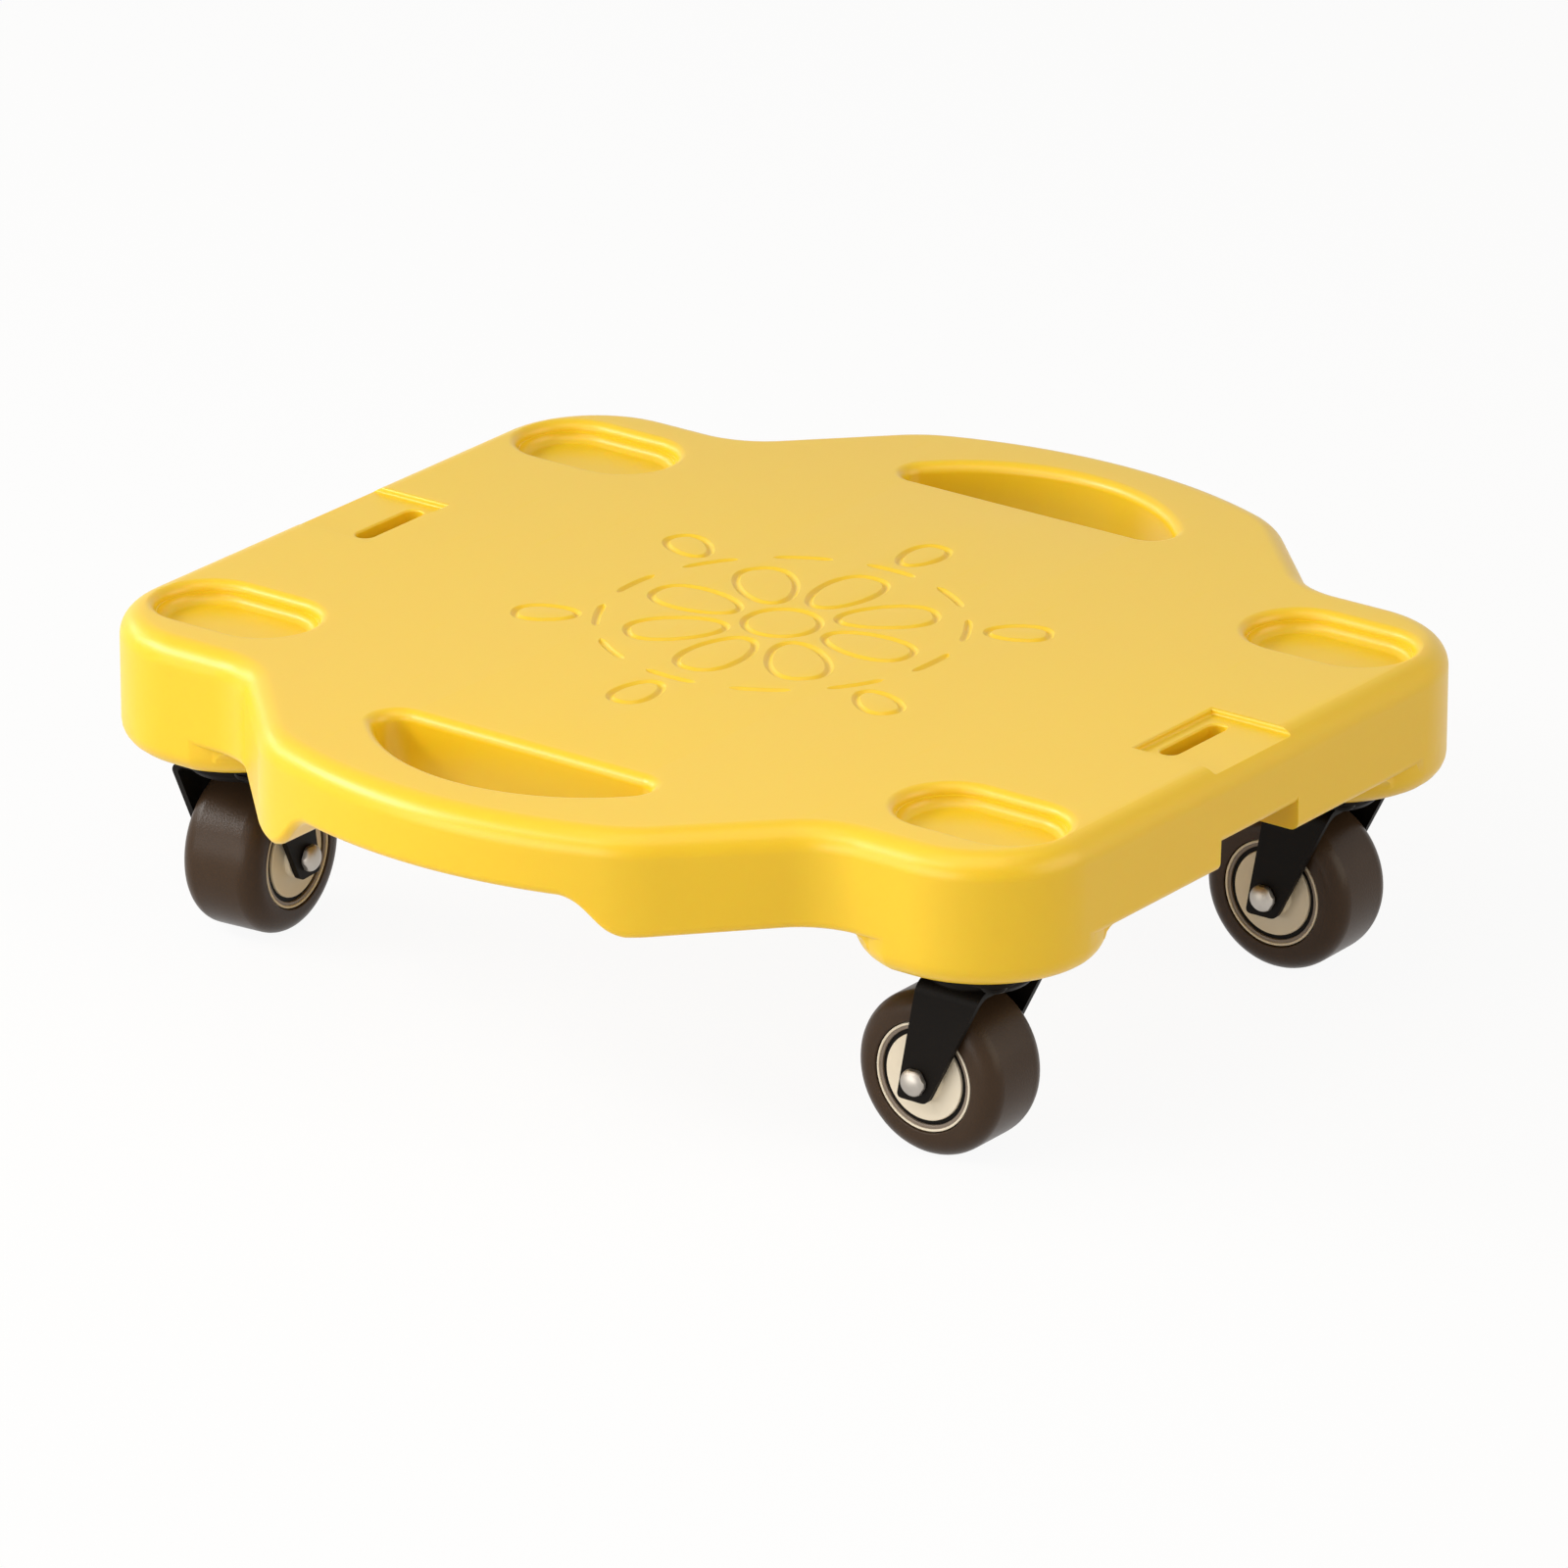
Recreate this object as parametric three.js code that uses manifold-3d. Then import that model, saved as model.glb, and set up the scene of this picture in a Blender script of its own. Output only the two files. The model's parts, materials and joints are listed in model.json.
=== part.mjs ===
import * as THREE from 'three';
import { mergeVertices } from 'three/addons/utils/BufferGeometryUtils.js';
import Module from 'manifold-3d';

// A low scooter board for floor play: one moulded deck with a hand slot in each bulged side,
// on four small swivel casters. Millimetres, +Z up, the floor is Z = 0 and the deck is centred on the Z axis.
// X runs from hand slot to hand slot, Y from cord slot to cord slot.

const wasm = await Module();
wasm.setup();

// Deck, seen from above
const deckHalfLength = 175; // to the straight ends, along Y
const deckHalfWidth = 124.3; // to the straight sides beside the corners, along X
const cornerRadius = 37;
const handleReach = 179.7; // to the tip of the bulge, along X
const bulgeRadius = 163.6;
const shoulderRadius = 43.5; // where the bulge turns back to the side
const shoulderCentreShare = 0.2483; // of the deck's half length
const waistFilletRadius = 26.8; // the hollow between bulge and side
const waistCentreShare = 0.6827; // of the deck's half length

// Deck, depths below its flat top
const skirtDepth = 31.8; // the four thick pads
const handleDepth = 21.3; // the thinner slab between the pads, and the hand grips
const notchDepth = 23.4; // the mouth of the channel under each cord slot
const rimRadius = 8;
const skirtEdgeRadius = 3;

// Caster seats under the pads
const casterInsetX = 35.4; // swivel axis to straight side
const casterInsetY = 36.4; // swivel axis to straight end
const bossRadius = 36.5;
const bossHeight = 9.3; // below the pad
const bossEdgeRadius = 6.8;
const bossFootRadius = 2.5;

// Corner trays in the top
const trayHalfWidth = 17;
const trayHalfLength = 27.5;
const trayDepth = 6.5;
const trayDraft = 0.6;
const trayRimRadius = 2;
const trayFloorRadius = 4;

// Hand slots
const gripBarWidth = 21.5; // what a hand closes round
const handSlotWidth = 33; // straight edge to the middle of the curved edge
const slotArcRadius = 64;
const slotCornerRadius = 7;
const slotRimRadius = 2.5;
const slotFootRadius = 2;

// Cord slots, each in a shallow recess that is open to the end of the deck
const cordRecessHalfWidth = 19.7;
const cordRecessLength = 31.3; // from the end of the deck
const cordRecessDepth = 2;
const cordSlotHalfLength = 14.7;
const cordSlotHalfWidth = 3;
const cordSlotInset = 24.2; // slot's middle to the end of the deck

// Underside: two channels cross between the pads, with oblong dimples pressed into slab and pads
const gripHalfWidth = 49.3; // the channel from grip to grip, at its roof
const gripFootHalfWidth = 66; // and at the foot of its sloped sides
const gripEaseShare = 0.35; // how far the slopes are eased into an S
const notchHalfWidth = 20.5; // the channel from cord slot to cord slot, at its foot
const notchDraft = 0.8;
const dimpleHalfWidth = 7;
const dimpleDraft = 2.5;
const slabDimpleHalfLength = 34;
const slabDimpleDepth = 7;
const slabDimplePitch = 40;
const slabDimpleCount = 5;
const padDimpleHalfLength = 36;
const padDimpleDepth = 12;

// Casters
const casterTrail = 10.7; // axle behind kingpin
const wheelRadius = 25.4;
const tyreWidth = 27.6;
const tyreShoulderRadius = 6.2;
const tyreLipHeight = 0.6; // the tyre stands proud of the hub's face
const crownClearance = 4.8; // tyre to fork crown
const hubRadius = 16.8;
const hubRidgeHeight = 1.8; // the ridge that locks the tyre on
const hubRidgeHalfWidth = 5;
const hubRingWidth = 1.9;
const hubGrooveWidth = 1.5;
const hubGrooveDepth = 1.6;
const hubBossWall = 2.2;
const bushWall = 1.2;
const axleRadius = 2.5;
const boltAcrossFlats = 8;
const boltHeadHeight = 3.4;
const boltDomeHeight = 1.3;
const nutHeight = 4;
const boltTail = 1.2; // thread that stands out of the nut
const forkSideClearance = 1.5; // tyre to fork leg
const forkThickness = 2;
const forkBendRadius = 4.5;
const legFootFront = 6.8; // the leg's foot reaches this far behind the axle, away from the kingpin
const legFootRear = 4; // and this far towards the kingpin
const legFootDrop = 6.5; // below the axle
const legTopFront = 10.8; // the leg's top, measured from the kingpin
const legTopRear = 11.8;
const legFootCornerRadius = 1.8;
const crownSideClearance = 2.6; // balls to the crown's rim
const crownRimWidth = 1.8;
const crownRimHeight = 2.4;
const plateHalfSize = 23;
const plateCornerRadius = 6;
const plateThickness = 2;
const racewayHeight = 1.5;
const racewayLip = 1.4; // the raceway reaches this far beyond the balls
const ballRadius = 1.6;
const ballPitchRadius = 10.6;
const ballCount = 6;
const cageHalfWidth = 0.9;
const cageHalfHeight = 0.5;
const kingpinRadius = 3.5;
const kingpinHeadRadius = 6;
const kingpinHeadHeight = 1.9;
const kingpinDomeHeight = 0.8;

// Screws that hold each plate
const screwPitchHalf = 17;
const screwRadius = 2;
const screwHeadRadius = 3.9;
const screwHeadHeight = 2.2;
const screwLength = 16;
const screwTipLength = 3;

// Clearances
const seatGap = 0.3; // between pieces that lie on each other
const runningGap = 0.3; // round a pin in its hole
const overrun = 5; // a cut runs this far past the face that it opens

// Faces on round shapes
const bulgeSteps = 6;
const shoulderSteps = 5;
const waistSteps = 4;
const cornerSteps = 6;
const rimSteps = 3;
const edgeSteps = 2;
const rampSteps = 4;
const trayEndSteps = 6;
const slotEndSteps = 4;
const seatSteps = 24;
const tyreSteps = 24;
const hubSteps = 14;
const dishSteps = 12;
const pinSteps = 8;
const screwSteps = 6;
const ballSides = 5;
const ballBands = 3;
const bendSteps = 2;

// How each caster stands at rest, as seen in the photograph: trail direction in degrees from +X,
// and the side of the fork that the bolt head is on
const restHeadings = [90, 91, 176, 5];
const boltHeadSides = [1, 1, 1, -1];

// Heights that follow
const axleHeight = wheelRadius;
const crownBottom = 2 * wheelRadius + crownClearance;
const crownTop = crownBottom + forkThickness;
const ballHeight = crownTop + seatGap + ballRadius;
const racewayBottom = ballHeight + ballRadius + seatGap;
const plateBottom = racewayBottom + racewayHeight;
const casterHeight = plateBottom + plateThickness;
const bossBottom = casterHeight + seatGap;
const bossDepth = skirtDepth + bossHeight;
const seatEdgeRadius = Math.min(bossEdgeRadius, bossHeight - bossFootRadius);
const deckTop = bossBottom + bossDepth;
const tyreHalfWidth = tyreWidth / 2;
const legInner = tyreHalfWidth + forkSideClearance;
const legOuter = legInner + forkThickness;
const bushRadius = axleRadius + runningGap + bushWall;
const hubBore = bushRadius + runningGap;
const racewayRadius = ballPitchRadius + ballRadius + racewayLip;
const crownRadius = ballPitchRadius + ballRadius + crownSideClearance + crownRimWidth;

// Places that follow
const casterX = deckHalfWidth - casterInsetX;
const casterY = deckHalfLength - casterInsetY;
const shoulderCentreY = deckHalfLength * shoulderCentreShare;
const waistCentreY = deckHalfLength * waistCentreShare;
const slotOuterX = handleReach - gripBarWidth;
const slotInnerX = slotOuterX - handSlotWidth;
const cordRecessInnerY = deckHalfLength - cordRecessLength;
const cordSlotY = deckHalfLength - cordSlotInset;
const padDimpleX = (notchHalfWidth + casterX - bossRadius) / 2;
const padDimpleY = (gripFootHalfWidth + deckHalfLength) / 2;

// A closed geometry as a solid that can be joined and cut
function solid(geometry) {
  const bare = geometry.index ? geometry.toNonIndexed() : geometry.clone();
  bare.deleteAttribute('normal');
  bare.deleteAttribute('uv');
  const merged = mergeVertices(bare);
  return new wasm.Manifold(
    new wasm.Mesh({
      numProp: 3,
      vertProperties: merged.attributes.position.array,
      triVerts: new Uint32Array(merged.index.array),
    }),
  );
}

// A solid as a geometry for a mesh
function geometryOf(body) {
  const mesh = body.getMesh();
  const geometry = new THREE.BufferGeometry();
  geometry.setAttribute('position', new THREE.BufferAttribute(mesh.vertProperties, 3));
  geometry.setIndex(new THREE.BufferAttribute(mesh.triVerts, 1));
  geometry.computeVertexNormals();
  return geometry;
}

function arc(centreX, centreY, radius, from, to, steps) {
  const points = [];
  for (let i = 0; i <= steps; i++) {
    const angle = from + ((to - from) * i) / steps;
    const x = centreX + radius * Math.cos(angle);
    const y = centreY + radius * Math.sin(angle);
    points.push(new THREE.Vector2(x, y));
  }
  return points;
}

// A solid through stacked loops of equally many points, from the lowest level to the highest.
// Each level is a loop of plan points and a height.
function stack(levels) {
  const count = levels[0].loop.length;
  const positions = [];
  for (const { loop, z } of levels) {
    for (const p of loop) positions.push(p.x, p.y, z);
  }
  const faces = [];
  const cap = THREE.ShapeUtils.triangulateShape(levels[0].loop, []);
  const last = (levels.length - 1) * count;
  for (const [a, b, c] of cap) {
    faces.push(a, c, b);
    faces.push(last + a, last + b, last + c);
  }
  for (let k = 0; k < levels.length - 1; k++) {
    for (let i = 0; i < count; i++) {
      const a = k * count + i;
      const b = k * count + ((i + 1) % count);
      faces.push(a, b, b + count);
      faces.push(a, b + count, a + count);
    }
  }
  const geometry = new THREE.BufferGeometry();
  geometry.setAttribute('position', new THREE.Float32BufferAttribute(positions, 3));
  geometry.setIndex(faces);
  return solid(geometry);
}

// Insets and heights of a quarter round, from the height where it leaves the wall to the flat.
// Direction 1 rounds upwards, -1 downwards.
function quarterRound(inset, z, radius, direction, steps) {
  const levels = [];
  for (let i = 0; i <= steps; i++) {
    const angle = (Math.PI / 2) * (i / steps);
    const step = radius * (1 - Math.cos(angle));
    levels.push({ inset: inset + step, z: z + direction * radius * Math.sin(angle) });
  }
  return levels;
}

// The deck's outline, moved inwards by an inset, anticlockwise. Where the hollow beside the corner
// has too little room for its fillet, the fillet shrinks until it meets the shoulder.
function deckOutline(inset) {
  const bulgeCentreX = handleReach - bulgeRadius;
  const shoulderReach = bulgeRadius - shoulderRadius;
  const bulgeEnd = Math.asin(shoulderCentreY / shoulderReach);
  const shoulderX = bulgeCentreX + shoulderReach * Math.cos(bulgeEnd);
  const sideStep = deckHalfWidth - shoulderX;
  const rise = waistCentreY - shoulderCentreY;
  const room = (sideStep ** 2 + rise ** 2 - shoulderRadius ** 2) / (2 * (shoulderRadius - sideStep));
  const fillet = Math.min(waistFilletRadius, room);
  const waistX = deckHalfWidth + fillet;
  const span = Math.hypot(waistX - shoulderX, rise);
  const bearing = Math.atan2(rise, waistX - shoulderX);
  const shoulderEnd = bearing - Math.acos((shoulderRadius + fillet) / span);
  const cornerX = deckHalfWidth - cornerRadius;
  const cornerY = deckHalfLength - cornerRadius;
  const quarter = [
    ...arc(bulgeCentreX, 0, bulgeRadius - inset, 0, bulgeEnd, bulgeSteps).slice(1),
    ...arc(shoulderX, shoulderCentreY, shoulderRadius - inset, bulgeEnd, shoulderEnd, shoulderSteps).slice(1),
    ...arc(waistX, waistCentreY, fillet + inset, shoulderEnd + Math.PI, Math.PI, waistSteps),
    ...arc(cornerX, cornerY, cornerRadius - inset, 0, Math.PI / 2, cornerSteps),
  ];
  const mirrored = [...quarter].reverse().map((p) => new THREE.Vector2(-p.x, p.y));
  const half = [new THREE.Vector2(handleReach - inset, 0), ...quarter, ...mirrored];
  const otherHalf = half.map((p) => new THREE.Vector2(-p.x, -p.y));
  return [...half, ...otherHalf];
}

// The deck's full outline down to a depth, with its rim and its lower edge rounded
function deckBlock(depth, edgeRadius, topZ, topRadius) {
  const bottomZ = deckTop - depth;
  const low = quarterRound(0, bottomZ + edgeRadius, edgeRadius, -1, edgeSteps).reverse();
  const high = topRadius > 0 ? quarterRound(0, topZ - topRadius, topRadius, 1, rimSteps) : [{ inset: 0, z: topZ }];
  return stack([...low, ...high].map(({ inset, z }) => ({ loop: deckOutline(inset), z })));
}

// A stadium about a centre, its long axis along X or along Y, moved inwards by an inset
function stadium(centreX, centreY, halfLength, halfWidth, inset, alongX, steps) {
  const radius = halfWidth - inset;
  const straight = halfLength - halfWidth;
  const ends = [
    ...arc(straight, 0, radius, -Math.PI / 2, Math.PI / 2, steps),
    ...arc(-straight, 0, radius, Math.PI / 2, (3 * Math.PI) / 2, steps),
  ];
  return ends.map((p) =>
    alongX ? new THREE.Vector2(centreX + p.x, centreY + p.y) : new THREE.Vector2(centreX - p.y, centreY + p.x),
  );
}

// One hand slot's outline on the +X side, moved inwards by an inset
function handSlotOutline(inset) {
  const arcCentreX = slotOuterX - slotArcRadius;
  const cornerX = slotInnerX + slotCornerRadius;
  const cornerReach = slotArcRadius - slotCornerRadius;
  const cornerY = Math.sqrt(cornerReach ** 2 - (cornerX - arcCentreX) ** 2);
  const turn = Math.atan2(cornerY, cornerX - arcCentreX);
  const corner = slotCornerRadius - inset;
  return [
    ...arc(arcCentreX, 0, slotArcRadius - inset, -turn, turn, bulgeSteps).slice(0, -1),
    ...arc(cornerX, cornerY, corner, turn, Math.PI, slotEndSteps),
    ...arc(cornerX, -cornerY, corner, Math.PI, 2 * Math.PI - turn, slotEndSteps).slice(0, -1),
  ];
}

// A tray, pressed into the top: it opens with a rounded rim and ends in a filleted floor
function trayCut(x, y) {
  const floorZ = deckTop - trayDepth;
  const rimZ = deckTop - trayRimRadius;
  const floorRadius = Math.min(trayFloorRadius, trayDepth - trayRimRadius - trayDraft);
  const floor = quarterRound(trayDraft, floorZ + floorRadius, floorRadius, -1, edgeSteps).reverse();
  const rim = quarterRound(0, rimZ, trayRimRadius, 1, edgeSteps).map(({ inset, z }) => ({ inset: -inset, z }));
  const open = { inset: -trayRimRadius, z: deckTop + overrun };
  return stack(
    [...floor, ...rim, open].map(({ inset, z }) => ({
      loop: stadium(x, y, trayHalfLength, trayHalfWidth, inset, false, trayEndSteps),
      z,
    })),
  );
}

// The hand slot on the +X side, right through the slab and rounded where it opens above and below
function handSlotCut() {
  const slabZ = deckTop - handleDepth;
  const foot = quarterRound(0, slabZ + slotFootRadius, slotFootRadius, -1, edgeSteps).reverse();
  const rim = quarterRound(0, deckTop - slotRimRadius, slotRimRadius, 1, edgeSteps);
  const levels = [
    { inset: slotFootRadius, z: slabZ - overrun },
    ...foot,
    ...rim,
    { inset: slotRimRadius, z: deckTop + overrun },
  ];
  return stack(levels.map(({ inset, z }) => ({ loop: handSlotOutline(-inset), z })));
}

// The channel between the pads from grip to grip: a flat roof and two smooth S-shaped sides
function gripChannel() {
  const rise = skirtDepth - handleDepth;
  const half = [new THREE.Vector2(gripHalfWidth, deckTop - handleDepth + skirtEdgeRadius)];
  for (let i = 0; i <= rampSteps; i++) {
    const share = i / rampSteps;
    const fallShare = share - (gripEaseShare * Math.sin(2 * Math.PI * share)) / (2 * Math.PI);
    const width = gripHalfWidth + (gripFootHalfWidth - gripHalfWidth) * share;
    half.push(new THREE.Vector2(width, deckTop - handleDepth - rise * fallShare));
  }
  half.push(new THREE.Vector2(gripFootHalfWidth, deckTop - skirtDepth - overrun));
  const outline = [...half, ...[...half].reverse().map((p) => new THREE.Vector2(-p.x, p.y))];
  const channel = new THREE.ExtrudeGeometry(new THREE.Shape(outline), {
    depth: 2 * (handleReach + overrun),
    steps: 1,
    bevelEnabled: false,
  });
  channel.rotateX(Math.PI / 2);
  channel.rotateZ(Math.PI / 2);
  channel.translate(-handleReach - overrun, 0, 0);
  return solid(channel);
}

// The channel between the pads from cord slot to cord slot
function notchChannel() {
  const topZ = deckTop - notchDepth + skirtEdgeRadius;
  const outline = [
    new THREE.Vector2(notchHalfWidth, deckTop - skirtDepth - overrun),
    new THREE.Vector2(notchHalfWidth - notchDraft, topZ),
    new THREE.Vector2(notchDraft - notchHalfWidth, topZ),
    new THREE.Vector2(-notchHalfWidth, deckTop - skirtDepth - overrun),
  ];
  const channel = new THREE.ExtrudeGeometry(new THREE.Shape(outline), {
    depth: 2 * (deckHalfLength + overrun),
    steps: 1,
    bevelEnabled: false,
  });
  channel.rotateX(Math.PI / 2);
  channel.translate(0, deckHalfLength + overrun, 0);
  return solid(channel);
}

// A box between two corners
function block(x0, y0, z0, x1, y1, z1) {
  const box = new THREE.BoxGeometry(x1 - x0, y1 - y0, z1 - z0);
  box.translate((x0 + x1) / 2, (y0 + y1) / 2, (z0 + z1) / 2);
  return solid(box);
}

// A shape turned about a vertical axis from a profile of radii and heights
function turned(profile, steps) {
  const geometry = new THREE.LatheGeometry(profile.map(([r, z]) => new THREE.Vector2(r, z)), steps);
  geometry.rotateX(Math.PI / 2);
  return solid(geometry);
}

// A shape turned about the wheel's axle, which lies along Y
function turnedOnAxle(profile, steps, start = 0) {
  const points = profile.map(([r, y]) => new THREE.Vector2(r, y));
  return solid(new THREE.LatheGeometry(points, steps, start));
}

// A round caster seat: cut from the deck's own outline, so that its outer side runs on down the wall
function casterSeat(seatBlock, x, y) {
  const padZ = deckTop - skirtDepth;
  const profile = [[0, bossBottom]];
  const edgeZ = bossBottom + seatEdgeRadius;
  for (const { inset, z } of quarterRound(0, edgeZ, seatEdgeRadius, -1, edgeSteps).reverse()) {
    profile.push([bossRadius - inset, z]);
  }
  for (const { inset, z } of quarterRound(0, padZ - bossFootRadius, bossFootRadius, 1, edgeSteps)) {
    profile.push([bossRadius + inset, z]);
  }
  profile.push([bossRadius + bossFootRadius, padZ + skirtEdgeRadius]);
  profile.push([0, padZ + skirtEdgeRadius]);
  return turned(profile, seatSteps).translate([x, y, 0]).intersect(seatBlock);
}

// Blind holes for one caster's screws
function screwPilots(x, y) {
  const pilotRadius = screwRadius + runningGap;
  const pilotTop = plateBottom + screwLength;
  const pilot = turned(
    [[0, bossBottom - overrun], [pilotRadius, bossBottom - overrun], [pilotRadius, pilotTop], [0, pilotTop]],
    screwSteps,
  );
  const pilots = cornerSigns.map(([sx, sy]) => pilot.translate([x + sx * screwPitchHalf, y + sy * screwPitchHalf, 0]));
  return wasm.Manifold.union(pilots);
}

// An oblong dimple pressed up into the underside
function dimpleCut(x, y, halfLength, faceDepth, depth) {
  const faceZ = deckTop - faceDepth;
  const outline = (inset) => stadium(x, y, halfLength, dimpleHalfWidth, inset, false, slotEndSteps);
  return stack([
    { loop: outline(-dimpleDraft), z: deckTop - skirtDepth - overrun },
    { loop: outline(-dimpleDraft), z: faceZ },
    { loop: outline(dimpleDraft), z: faceZ + depth },
  ]);
}

const cornerSigns = [[-1, -1], [1, -1], [1, 1], [-1, 1]];

function makeDeck() {
  let deck = deckBlock(skirtDepth, skirtEdgeRadius, deckTop, rimRadius);
  deck = deck.subtract(gripChannel()).subtract(notchChannel());
  const slabTop = deckTop - rimRadius;
  deck = deck.add(deckBlock(handleDepth, skirtEdgeRadius, slabTop, 0));
  const notchRoof = deckBlock(notchDepth, skirtEdgeRadius, slabTop, 0).intersect(
    block(-notchHalfWidth, -deckHalfLength, bossBottom, notchHalfWidth, deckHalfLength, deckTop),
  );
  deck = deck.add(notchRoof);

  const seatBlock = deckBlock(bossDepth, seatEdgeRadius, slabTop, 0);
  for (const [sx, sy] of cornerSigns) {
    deck = deck.add(casterSeat(seatBlock, sx * casterX, sy * casterY));
  }
  for (const [sx, sy] of cornerSigns) {
    deck = deck.subtract(trayCut(sx * casterX, sy * casterY));
    deck = deck.subtract(screwPilots(sx * casterX, sy * casterY));
    deck = deck.subtract(
      dimpleCut(sx * padDimpleX, sy * padDimpleY, padDimpleHalfLength, skirtDepth, padDimpleDepth),
    );
  }
  for (let i = 0; i < slabDimpleCount; i++) {
    const x = (i - (slabDimpleCount - 1) / 2) * slabDimplePitch;
    deck = deck.subtract(dimpleCut(x, 0, slabDimpleHalfLength, handleDepth, slabDimpleDepth));
  }
  const handSlot = handSlotCut();
  deck = deck.subtract(handSlot).subtract(handSlot.rotate([0, 0, 180]));

  const recessFloor = deckTop - cordRecessDepth;
  for (const side of [1, -1]) {
    const slotOutline = stadium(0, side * cordSlotY, cordSlotHalfLength, cordSlotHalfWidth, 0, true, slotEndSteps);
    const cordSlot = stack([
      { loop: slotOutline, z: deckTop - skirtDepth },
      { loop: slotOutline, z: deckTop + overrun },
    ]);
    const innerEdge = side * cordRecessInnerY;
    const openEdge = side * (deckHalfLength + overrun);
    const recess = block(
      -cordRecessHalfWidth,
      Math.min(innerEdge, openEdge),
      recessFloor,
      cordRecessHalfWidth,
      Math.max(innerEdge, openEdge),
      deckTop + overrun,
    );
    deck = deck.subtract(recess).subtract(cordSlot);
  }
  return deck;
}

// The top plate: a dish for the kingpin's head, a ball raceway under it, a kingpin hole and four screw holes
function makePlate() {
  const shape = new THREE.Shape();
  const straight = plateHalfSize - plateCornerRadius;
  shape.absarc(straight, straight, plateCornerRadius, 0, Math.PI / 2, false);
  shape.absarc(-straight, straight, plateCornerRadius, Math.PI / 2, Math.PI, false);
  shape.absarc(-straight, -straight, plateCornerRadius, Math.PI, (3 * Math.PI) / 2, false);
  shape.absarc(straight, -straight, plateCornerRadius, (3 * Math.PI) / 2, 2 * Math.PI, false);
  const flat = new THREE.ExtrudeGeometry(shape, {
    depth: plateThickness,
    steps: 1,
    curveSegments: bendSteps,
    bevelEnabled: false,
  });
  flat.translate(0, 0, plateBottom);
  const raceway = turned(
    [[0, racewayBottom], [racewayRadius - racewayHeight, racewayBottom], [racewayRadius, plateBottom + seatGap],
      [0, plateBottom + seatGap]],
    dishSteps,
  );
  const dishFloor = casterHeight - kingpinHeadHeight - seatGap;
  const dishRadius = kingpinHeadRadius + runningGap;
  const dish = turned(
    [[0, dishFloor], [dishRadius, dishFloor], [dishRadius, casterHeight + overrun], [0, casterHeight + overrun]],
    pinSteps,
  );
  let plate = solid(flat).add(raceway).subtract(dish);
  const kingpinHole = kingpinRadius + runningGap;
  plate = plate.subtract(
    turned(
      [[0, racewayBottom - overrun], [kingpinHole, racewayBottom - overrun],
        [kingpinHole, casterHeight + overrun], [0, casterHeight + overrun]],
      pinSteps,
    ),
  );
  const screwHole = screwRadius + runningGap;
  const hole = turned(
    [[0, plateBottom - overrun], [screwHole, plateBottom - overrun], [screwHole, casterHeight + overrun],
      [0, casterHeight + overrun]],
    screwSteps,
  );
  for (const [sx, sy] of cornerSigns) {
    plate = plate.subtract(hole.translate([sx * screwPitchHalf, sy * screwPitchHalf, 0]));
  }
  return plate;
}

// Balls in a flat cage, one piece here because they travel together
function makeBallRace() {
  let race = turned(
    [[ballPitchRadius - cageHalfWidth, ballHeight - cageHalfHeight],
      [ballPitchRadius + cageHalfWidth, ballHeight - cageHalfHeight],
      [ballPitchRadius + cageHalfWidth, ballHeight + cageHalfHeight],
      [ballPitchRadius - cageHalfWidth, ballHeight + cageHalfHeight],
      [ballPitchRadius - cageHalfWidth, ballHeight - cageHalfHeight]],
    ballCount,
  );
  const ball = new THREE.SphereGeometry(ballRadius, ballSides, ballBands);
  ball.rotateX(Math.PI / 2);
  const ballSolid = solid(ball);
  for (let i = 0; i < ballCount; i++) {
    const angle = (2 * Math.PI * (i + 1 / 4)) / ballCount;
    const x = ballPitchRadius * Math.cos(angle);
    const y = ballPitchRadius * Math.sin(angle);
    race = race.add(ballSolid.translate([x, y, ballHeight]));
  }
  return race;
}

// The rivet that the fork swivels on: one head in the plate's dish, the other under the fork's crown
function makeKingpin() {
  const upperHeadBottom = casterHeight - kingpinHeadHeight;
  const lowerHeadTop = crownBottom - seatGap;
  const lowerHeadBottom = lowerHeadTop - kingpinHeadHeight;
  const domeRadius = kingpinHeadRadius - kingpinDomeHeight;
  return turned(
    [[0, lowerHeadBottom], [domeRadius, lowerHeadBottom], [kingpinHeadRadius, lowerHeadBottom + kingpinDomeHeight],
      [kingpinHeadRadius, lowerHeadTop], [kingpinRadius, lowerHeadTop], [kingpinRadius, upperHeadBottom],
      [kingpinHeadRadius, upperHeadBottom], [kingpinHeadRadius, casterHeight], [0, casterHeight]],
    pinSteps,
  );
}

// A screw from below: pan head, shank and tip
function makeScrew() {
  const headTop = plateBottom - seatGap;
  const headBottom = headTop - screwHeadHeight;
  const tip = headTop + screwLength;
  return turned(
    [[0, headBottom], [screwHeadRadius - screwHeadHeight / 2, headBottom], [screwHeadRadius, headTop],
      [screwRadius, headTop], [screwRadius, tip - screwTipLength], [0, tip]],
    screwSteps,
  );
}

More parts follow.
